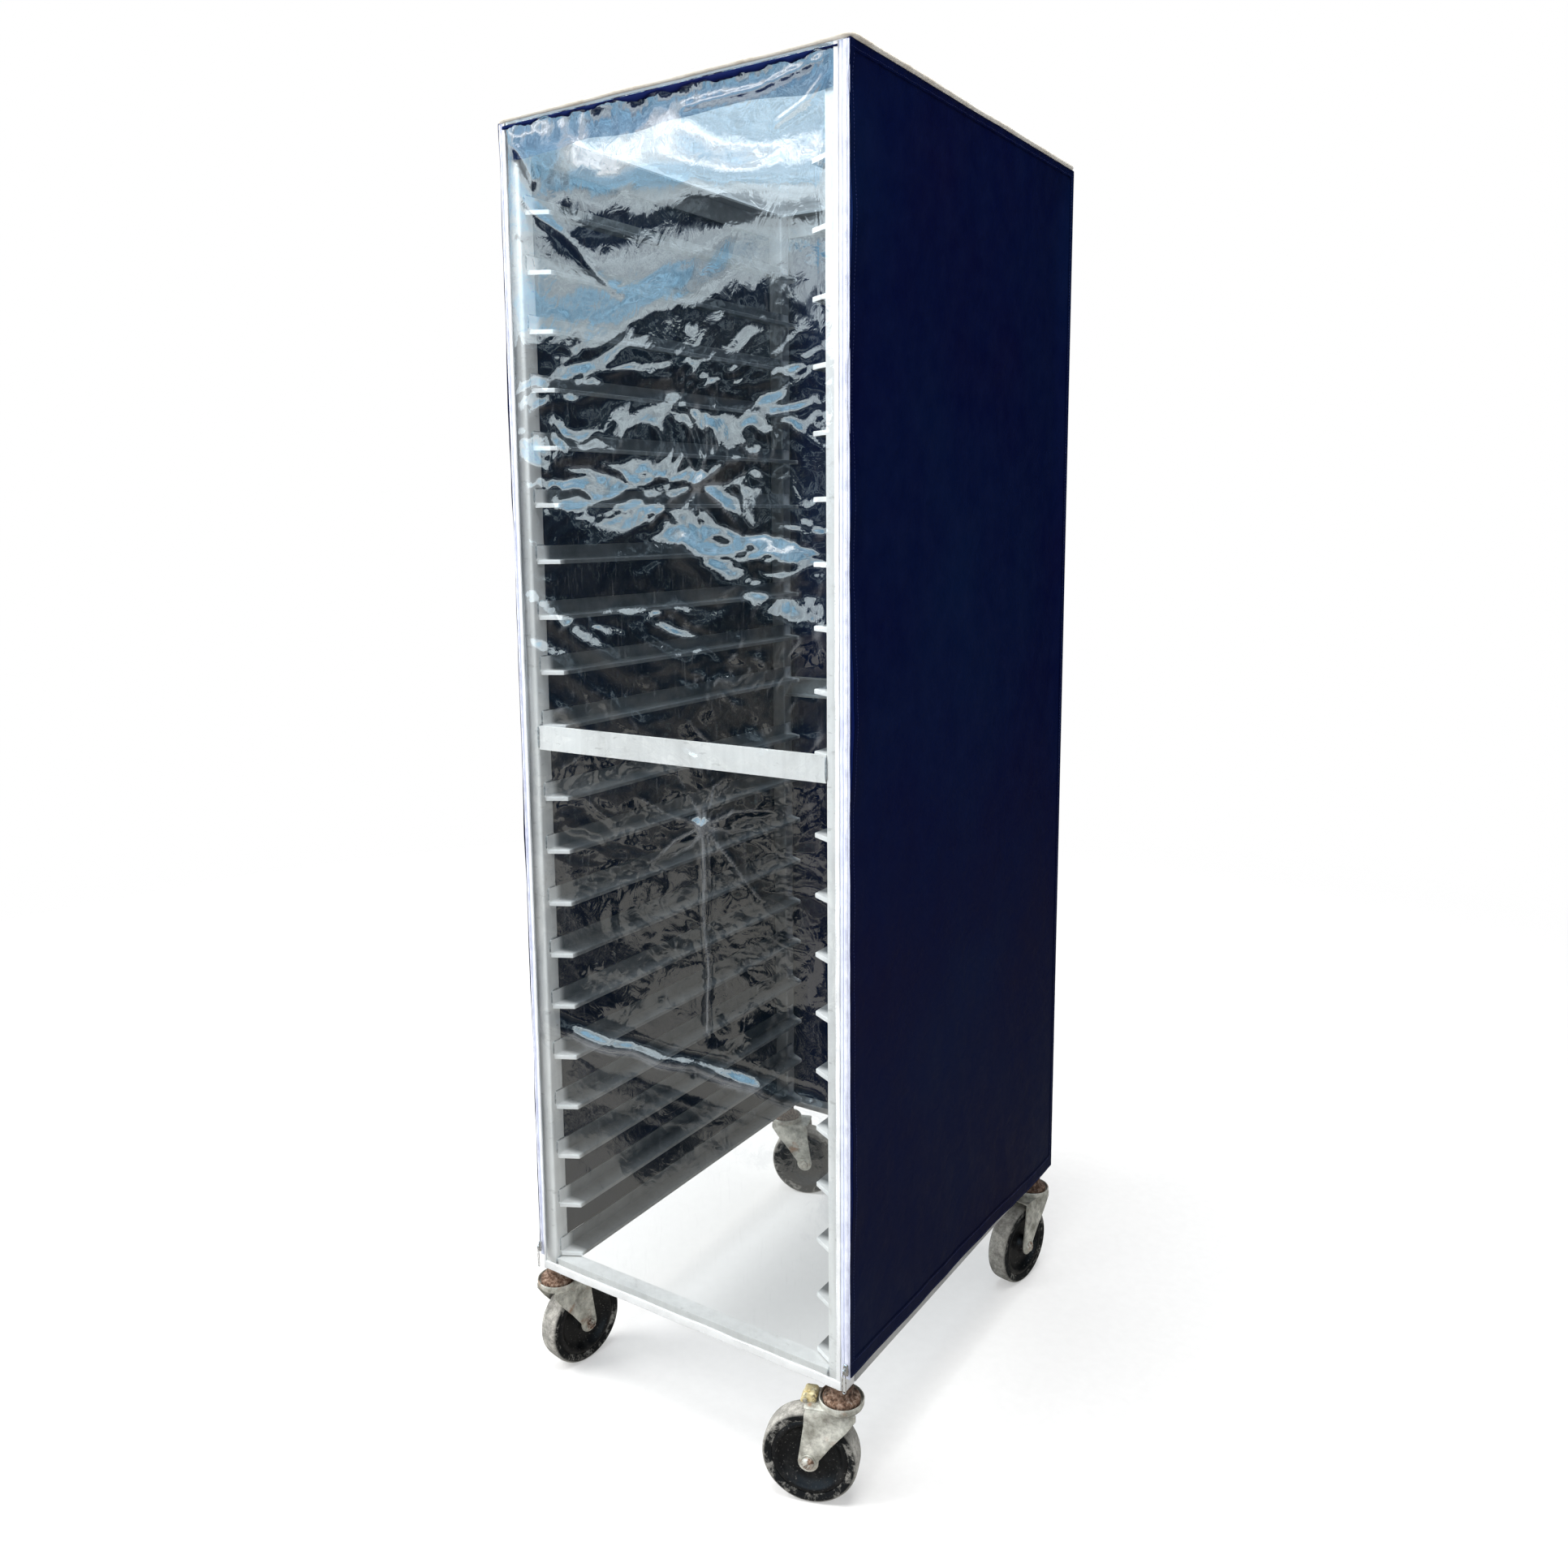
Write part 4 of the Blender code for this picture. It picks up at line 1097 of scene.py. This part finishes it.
def star(flat, x, z, reach, height):
    """Short creases that radiate from a point where packing folds crossed."""
    depth = np.zeros(len(flat))
    away = np.linalg.norm(flat - (x, z), axis=1)
    for k in range(STAR_RAYS):
        turn = 2 * math.pi * (k + 0.35 * math.sin(5.1 * k)) / STAR_RAYS
        length = reach * (0.55 + 0.45 * math.sin(2.3 * k + x * 40) ** 2)
        bend = turn + 0.35 * math.cos(3.7 * k)
        middle = (x + 0.5 * length * math.cos(turn), z + 0.5 * length * math.sin(turn))
        end = (middle[0] + 0.5 * length * math.cos(bend), middle[1] + 0.5 * length * math.sin(bend))
        sign = 1 if k % 3 else -0.7
        ridge = np.exp(-distance_to_line(flat, ((x, z), middle, end)) / 0.0065)
        depth += sign * height * ridge * np.exp(-away / length)
    return depth


def crumples(points, warped, busy):
    """Ridges and dents at several sizes, deepest in the busy part of the flap."""
    rising = warped @ np.array(((0.80, 0, -0.60), (0, 1, 0), (0.60, 0, 0.80)))
    falling = warped @ np.array(((0.92, 0, 0.38), (0, 1, 0), (-0.38, 0, 0.92)))
    patchy = busy * np.clip(0.80 + 1.2 * sampled(points, (5, 1, 7), 48, 1), 0.25, 1.4)
    depth = sampled(warped, (2.6, 1, 6.0), 43, 1) * 0.0042 * (0.45 + 0.55 * busy)
    depth += sampled(warped, (5.0, 1, 6.0), 52, 2) * 0.0026 * (1 - busy)
    depth += np.abs(sampled(rising, (6.0, 1, 11), 44, 1)) * -0.0052 * patchy
    depth += np.abs(sampled(falling, (9.0, 1, 15), 49, 1)) * 0.0034 * patchy
    depth += np.abs(sampled(warped, (20, 1, 27), 45, 2)) * -0.0019 * (0.12 + patchy)
    return depth + sampled(rising, (34, 1, 48), 50, 2) * 0.00055 * (0.10 + patchy)


def vinyl_depth(x, z):
    """How far the front vinyl stands out towards -Y, at each (x, z)."""
    points = columns(x, 0.0, z)
    warp = columns(sampled(points, (5, 1, 6), 41, 2), 0.0, sampled(points, (4, 1, 7), 42, 2))
    busy = smoothstep(z, 0.62, 1.00) * (1 - smoothstep(z, 1.43, 1.55))
    depth = crumples(points, points + warp * 0.040, busy)
    depth += 0.0070 * np.exp(-(((z - 1.04) / 0.17) ** 2))
    upper = smoothstep(z, 0.60, 0.80)
    uneven = 1 + 0.45 * sampled(points, (9, 1, 9), 47, 2) * upper
    uneven += 0.35 * sampled(points, (24, 1, 12), 53, 2) * (1 - upper)
    bent = np.column_stack((x, z)) + warp[:, (0, 2)] * 0.012
    for line, height, width in SOFT_FOLDS:
        depth += height * uneven * np.exp(-((distance_to_line(bent, line) / width) ** 2))
    for line, height, width in SHARP_CREASES:
        depth += height * np.exp(-distance_to_line(bent, line) / width)
    for star_z, reach, height in STARS_Z:
        depth += star(bent, PACKING_FOLD_X, star_z, reach, height)
    edge = np.minimum(WINDOW_X - np.abs(x), np.minimum(z - FLAP_LOW - 0.012, FLAP_HIGH - z))
    below_head = np.maximum(FLAP_HIGH - 0.006 - z, 0)
    pucker = sampled(points, (48, 1, 9), 46, 3) * 0.0034 * np.exp(-below_head / 0.013)
    return depth * smoothstep(edge, 0.0, 0.022) + pucker * smoothstep(edge, 0.0, 0.006)


def vinyl_crease(x, z):
    """Marks where the vinyl bends sharply."""
    rows = int(np.sum(x == x[0]))
    field = vinyl_depth(x, z).reshape(-1, rows)
    bend = sum(np.abs(np.gradient(np.gradient(field, axis=axis), axis=axis)) for axis in (0, 1))
    return np.clip(bend.ravel() * 2000 - 0.55, 0, 1)


def front_vinyl():
    """The flap's clear sheet and its flat size. Its depth levels off at the most that it may stand out."""
    middle, most = 0.0016, 0.0084

    def place(x, z):
        out = middle + most * np.tanh((vinyl_depth(x, z) - middle) / most)
        return columns(x, -COVER_Y + 0.0010 - out, z)

    low, high = FLAP_LOW + 0.006, FLAP_HIGH - 0.002
    reach = WINDOW_X + 0.003
    mesh = grid_mesh(spaced(-reach, reach, 0.0030), spaced(low, high, 0.0030), place, vinyl_crease)
    node = "front_clear_panel"
    vinyl = piece("clear_front_sheet", mesh, "front vinyl", "front_flap", [node], sharp=180)
    return vinyl, (2 * reach, high - low)


def strip(bm, line, half_width, half_thick, side_axis, wobble=0.0004, seed=0):
    """A soft flat ribbon along a straight line in the flap's plane. Side_axis is its width's direction."""
    start, end = (Vector(p) for p in line)
    along = end - start
    side_axis = Vector(side_axis)
    out = Vector((0, -1, 0))
    section = round_rect(half_width, half_thick, half_thick * 0.9, 3)
    steps = max(2, int(along.length / 0.006))
    rings = []
    for k in range(steps + 1):
        sway = noise.noise(Vector((k * 0.11, seed, 1.0))) * wobble
        lift = noise.noise(Vector((k * 0.17, seed, 6.0))) * wobble
        centre = start + along * k / steps + side_axis * sway + out * lift
        rings.append([centre + side_axis * a + out * b for a, b in section])
    swept(bm, rings)


def shade_band_behind_head():
    """A band of navy cloth behind the head of the flap, sewn into the top seam. It is painted shade: a dark
    sheet that hides the top rail where it lies in shade.
    """

    def place(x, v):
        y = -COVER_Y + 0.0058 + sampled(columns(x, 0.0, v), (12, 1, 20), 81, 2) * 0.0015
        ragged = 0.008 * sampled(columns(x, 0.0, 0.0), (9, 1, 1), 82, 2)
        return columns(x, y, COVER_HIGH - 0.0015 - v * (0.042 + ragged))

    reach = FLAP_X - 0.004
    mesh = grid_mesh(spaced(-reach, reach, 0.006), spaced(0, 1, 0.125), place)
    return piece("navy_head_facing", mesh, "navy", "rack")


def head_welt(y, high, width):
    """The narrow navy edge by which the flap hangs, with its cut edge ragged. Its dark band also stands in
    for the shadow under the piping, as painted shade.
    """

    def place(x, v):
        reach = width * (0.75 + 0.8 * sampled(columns(x, 0.0, 0.0), (46, 1, 1), 61, 3))
        out = 0.0020 + 0.0008 * np.sin(v * math.pi)
        return columns(x, y - out, high - 0.0036 - reach * v)

    mesh = grid_mesh(spaced(-FLAP_X, FLAP_X, 0.003), spaced(0, 1, 0.25), place)
    return piece("navy_head_welt", mesh, "navy", "front_flap", sharp=60)


def build_binding():
    """White ribbed binding over the vinyl's sides and foot, the welt at its head, and the stitches."""
    low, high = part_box("front_panel_binding")
    inner_low, inner_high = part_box("front_clear_panel")
    side_half = (FLAP_X - inner_high.x) / 2
    foot_half = (inner_low.z - low.z) / 2
    foot_z = low.z + foot_half
    y = -COVER_Y + 0.0008
    bm = bmesh.new()
    for side in (-1, 1):
        x = side * (FLAP_X - side_half)
        strip(bm, ((x, y, low.z), (x, y, high.z)), side_half, 0.0013, (1, 0, 0), 0.0006, 3 + side)
    foot = ((-FLAP_X, y - 0.0004, foot_z), (FLAP_X, y - 0.0004, foot_z))
    strip(bm, foot, foot_half, 0.0014, (0, 0, 1), 0.0008, 7)
    mesh, node = mesh_of(bm), "front_panel_binding"
    binding = piece("white_flap_binding", mesh, "binding", "front_flap", [node], sharp=60)
    welt = head_welt(y, high.z, high.z - inner_high.z)
    pairs = []
    for side in (-1, 1):
        x = side * (inner_high.x + 0.0014)
        pairs += straight_stitches((x, y - 0.0014, low.z + 0.004), (x, y - 0.0014, high.z - 0.004))
    for z in (inner_low.z - 0.0016, low.z + 0.0030):
        pairs += straight_stitches((-FLAP_X + 0.006, y - 0.0019, z), (FLAP_X - 0.006, y - 0.0019, z))
    stitches = stitched("flap_binding_stitches", pairs, "white thread", "front_flap")
    return [binding, welt, stitches]


# ---------------------------------------------------------------- zippers


def build_tapes(word, side):
    for kind, body in (("flap", "front_flap"), ("side", "rack")):
        node = f"{word}_{kind}_zipper_tape"
        low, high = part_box(node)
        middle, y = (low.x + high.x) / 2, -COVER_Y + 0.0009
        bm = bmesh.new()
        line = ((middle, y, low.z), (middle, y, high.z))
        strip(bm, line, (high.x - low.x) / 2, 0.0007, (1, 0, 0), 0.0003, 13 + side)
        piece(f"{word}_{kind}_tape", mesh_of(bm), "tape", body, [node], sharp=60)


def build_coil(word):
    """The closed coil: two rows of interlocked loops that stand out of the tapes."""
    low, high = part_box(f"{word}_zipper_slider")
    middle = (low.x + high.x) / 2
    bottom = low.z + 0.004
    pitch = 0.0022
    section = [(1.0, 0.0), (0.78, 0.62), (0.25, 0.92), (0.0, 0.62), (-0.25, 0.92), (-0.78, 0.62), (-1.0, 0.0)]
    rings = []
    for k in range(int((FLAP_HIGH - bottom) / pitch)):
        for phase, size in ((0.0, 0.70), (0.30, 1.0), (0.70, 1.0)):
            z = bottom + (k + phase) * pitch
            lean = 0.25 * pitch * (phase > 0.5)
            half, height = 0.0023 * (0.86 + 0.14 * size), 0.0016 * size
            y = -COVER_Y + 0.0004
            rings.append([(middle + a * half, y - b * height, z + lean * abs(a)) for a, b in section])
    piece(f"{word}_zipper_coil", swept_mesh(rings), "coil", "rack", sharp=70)


def build_slider(word):
    """Slider body with its wide mouth down, side flanges and the pull's bridge."""
    node = f"{word}_zipper_slider"
    low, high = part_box(node)
    middle, half = (low.x + high.x) / 2, (high.x - low.x) / 2
    back = high.y
    face = back - 0.0042
    stations = (
        (low.z, 0.80, 0.6),
        (low.z + 0.0012, 0.98, 1.0),
        (low.z + 0.0060, 1.0, 1.0),
        (high.z - 0.0050, 0.86, 1.0),
        (high.z - 0.0012, 0.74, 1.0),
        (high.z, 0.60, 0.6),
    )
    rings = []
    for z, wide, deep in stations:
        section = round_rect(half * wide, 0.0020 * deep, 0.0012 * deep, 3)
        rings.append([(middle + a, (back + face) / 2 - b, z) for a, b in section])
    bm = bmesh.new()
    swept(bm, rings)
    pin = Vector(JOINTS[f"{word}_pull_swing"]["pos_m"])
    bridge = [(face + 0.0006, pin.z - 0.0034)]
    for step in range(9):
        turn = math.radians(-80 + 170 * step / 8)
        bridge.append((pin.y - 0.0022 * math.cos(turn), pin.z + 0.0026 * math.sin(turn)))
    bridge.append((face + 0.0006, pin.z + 0.0034))
    swept(bm, [[(middle + a, y + b, z + b * 0.3) for a, b in circle(0.00075, 8)] for y, z in bridge])
    piece(f"{word}_nickel_slider", mesh_of(bm), "nickel", f"{word}_slider", [node], sharp=50)


def build_pull(word):
    """Bent wire loop with a narrow neck and a rounded foot."""
    node = f"{word}_zipper_pull"
    low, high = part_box(node)
    pin = Vector(JOINTS[f"{word}_pull_swing"]["pos_m"])
    wire = 0.00075
    half = (high.x - low.x) / 2 - wire
    bottom = low.z + wire
    neck = [(half * 0.7, pin.z), (half * 0.75, pin.z - 0.006), (half, pin.z - 0.013)]
    outline = [(-x, z) for x, z in neck] + [(-half, bottom + 0.004)]
    for step in range(9):
        turn = math.radians(180 + 180 * step / 8)
        outline.append((half * math.cos(turn), bottom + half + half * math.sin(turn)))
    outline += reversed(neck)
    rings = []
    for k, (x, z) in enumerate(outline):
        before, after = outline[k - 1], outline[(k + 1) % len(outline)]
        along = Vector((after[0] - before[0], 0, after[1] - before[1])).normalized()
        side = Vector((0, 1, 0)).cross(along)
        centre = Vector((pin.x + x, pin.y, z))
        rings.append([centre + side * a + Vector((0, b, 0)) for a, b in circle(wire, 10)])
    mesh = swept_mesh(rings, True)
    piece(f"{word}_wire_pull", mesh, "nickel", f"{word}_pull", [node], sharp=60)


def tuck_left(things):
    """The cover hangs to the right, so its left front edge is drawn in close to the post."""
    start = -0.2400
    for thing in things:
        for vertex in thing.data.vertices:
            if vertex.co.x < start:
                behind = min(1.0, max(0.0, (vertex.co.y + COVER_Y) / 0.0190))
                vertex.co.x = start + (vertex.co.x - start) * (0.54 + 0.18 * behind)


def build_cover():
    before = set(bpy.data.objects)
    shade_band_behind_head()
    for word, side in SIDES:
        side_panel(word, side)
        build_tapes(word, side)
        build_coil(word)
        build_slider(word)
        build_pull(word)
    back_panel()
    top_sheet()
    build_piping()
    vinyl, flat = front_vinyl()
    build_binding()
    tuck_left([thing for thing in bpy.data.objects if thing not in before])


# ---------------------------------------------------------------- floor, light and camera


def mirrored_ground(look, away):
    """What shiny surfaces see of the floor: patchy ground, paler near the rack."""
    near = look.ramp(away, (0.0, 0.13), (0.6, 0.0))
    patches = look.plus(look.noise(1.3, 6.0, 0.62, distortion=1.2), near)
    dark, grey, pale = (0.003, 0.014, 0.022), (0.08, 0.090, 0.095), (0.44, 0.425, 0.39)
    colour = look.ramp(patches, (0.46, dark), (0.50, grey), (0.56, pale))
    return look.node("ShaderNodeEmission", Color=colour, Strength=1.0).outputs[0]


def build_floor():
    """Pale floor that fades into the white surroundings, and a different ground in reflections."""
    radius = 4.2
    bm = bmesh.new()
    bmesh.ops.create_circle(bm, cap_ends=True, segments=96, radius=radius)
    floor = put("floor", mesh_of(bm, "floor"))
    look = Look("pale floor")
    base = look.ramp(look.noise(60.0, 6.0, 0.7), (0.35, (0.555, 0.550, 0.540)), (0.65, (0.580, 0.575, 0.565)))
    ground = look.node("ShaderNodeBsdfDiffuse", Color=base).outputs[0]
    glow = look.node("ShaderNodeEmission", Color=(1.0, 1.0, 1.0), Strength=0.375).outputs[0]
    lifted = look.numbered("ShaderNodeAddShader", None, (0, 1), (ground, glow))
    away = look.numbered("ShaderNodeVectorMath", {"operation": "LENGTH"}, (0,), (look.place(),), "Value")
    away = look.maths("DIVIDE", away, radius)
    path = look.node("ShaderNodeLightPath").outputs
    clear = look.node("ShaderNodeBsdfTransparent").outputs[0]
    seen = look.blend(path["Is Camera Ray"], ground, lifted)
    seen = look.blend(look.mask(away, 0.30, 0.80), seen, clear)
    reflected = look.blend(look.mask(away, 0.85, 0.98), mirrored_ground(look, away), clear)
    floor.data.materials.append(look.shade(look.blend(path["Is Glossy Ray"], seen, reflected)))


def mirrored_sky(look):
    """What shiny surfaces see: clouds and blue sky over dark trees, with a thin bright gap in the trees."""
    direction = look.parts(look.place())
    ragged = look.minus(look.noise(5.0, 7.0, 0.60), 0.5)
    height = look.plus(direction["Z"], look.times(ragged, 0.30))
    sky = look.ramp(
        look.times(look.plus(height, 1.0), 0.5),
        (0.400, (0.034, 0.034, 0.032)),
        (0.480, (0.004, 0.009, 0.013)),
        (0.512, (0.006, 0.013, 0.019)),
        (0.517, (0.170, 0.215, 0.245)),
        (0.522, (0.010, 0.018, 0.024)),
        (0.545, (0.008, 0.016, 0.022)),
        (0.554, (0.220, 0.270, 0.310)),
        (0.560, (0.620, 0.690, 0.720)),
        (0.572, (0.400, 0.460, 0.490)),
        (0.596, (0.470, 0.540, 0.570)),
        (0.612, (0.230, 0.430, 0.590)),
        (0.655, (0.280, 0.480, 0.640)),
        (0.690, (0.330, 0.520, 0.680)),
        (0.725, (1.150, 1.200, 1.240)),
        (0.765, (0.330, 0.520, 0.690)),
        (1.000, (0.240, 0.430, 0.640)),
    )
    above = look.node("ShaderNodeMapRange", From_Min=0.110, From_Max=0.140, Value=height).outputs[0]
    leaves = look.mask(look.noise(24.0, 5.0, 0.65), 0.58, 0.66)
    sky = look.mix(look.times(leaves, look.minus(1.0, above)), sky, (0.050, 0.066, 0.068))
    clouds = look.mask(look.noise(3.6, 6.0), 0.44, 0.62)
    sky = look.mix(look.times(clouds, above), sky, (0.48, 0.55, 0.58))
    streaks = look.ramp(look.noise(15.0, 6.0, 0.6, (1.0, 1.0, 2.2), 0.8), (0.35, 0.50), (0.65, 1.20))
    # The sky is bright towards the front left and dim behind the rack.
    facing = look.plus(look.times(direction["X"], -0.6), look.times(direction["Y"], -0.8))
    span = dict(From_Min=-0.6, From_Max=0.5, To_Min=0.05, To_Max=4.2)
    glow = look.node("ShaderNodeMapRange", Value=facing, **span).outputs[0]
    return look.node("ShaderNodeBackground", Color=sky, Strength=look.times(glow, streaks)).outputs[0]


def build_world():
    """White surroundings, with a sky for shiny surfaces to mirror."""
    look = Look("surroundings", world=True)
    plain = look.node("ShaderNodeBackground", Color=(0.93, 0.96, 1.0), Strength=0.50).outputs[0]
    white = look.node("ShaderNodeBackground", Color=(1.0, 1.0, 1.0), Strength=1.0).outputs[0]
    path = look.node("ShaderNodeLightPath").outputs
    lit = look.blend(path["Is Glossy Ray"], plain, mirrored_sky(look))
    bpy.context.scene.world = look.shade(look.blend(path["Is Camera Ray"], lit, white))


def add_softbox(name, place, target, size, power):
    """A square soft light that shows in no reflection."""
    light = bpy.data.lights.new(name, "AREA")
    light.shape = "RECTANGLE"
    light.size = light.size_y = size
    light.energy = power
    made = put(name, light)
    made.location = place
    made.rotation_euler = (Vector(target) - Vector(place)).to_track_quat("-Z", "Y").to_euler()
    made.visible_glossy = False


def build_lights():
    add_softbox("key", (-2.6, -2.4, 3.4), (0, 0, 0.8), 2.3, 195)
    add_softbox("front fill", (-0.2, -3.6, 2.0), (0, 0, 0.8), 2.0, 15)
    add_softbox("overhead", (0.2, -0.6, 4.2), (0, 0, 0), 2.4, 210)


def build_camera():
    """Right of the front, at about two thirds of the rack's height, looking slightly down."""
    yaw, pitch, roll = math.radians(34.09), math.radians(-8.26), math.radians(-0.67)
    forward = Vector((-math.sin(yaw) * math.cos(pitch), math.cos(yaw) * math.cos(pitch), math.sin(pitch)))
    level = Vector((math.cos(yaw), math.sin(yaw), 0))
    upright = level.cross(forward)
    right = level * math.cos(roll) + upright * math.sin(roll)
    up = upright * math.cos(roll) - level * math.sin(roll)
    camera = bpy.data.cameras.new("camera")
    camera.lens = 29.75
    camera.sensor_width = 36.0
    camera.shift_x = 0.0211
    camera.shift_y = -0.0475
    camera.clip_start = 0.05
    made = put("camera", camera)
    made.matrix_world = axes_matrix(right, up, -forward, (1.0085, -1.6360, 1.2604))
    bpy.context.scene.camera = made
    bpy.context.scene.view_settings.view_transform = "Standard"


# ---------------------------------------------------------------- the whole scene


def main():
    build_frame()
    build_casters()
    build_cover()
    build_floor()
    build_world()
    build_lights()
    build_camera()


main()
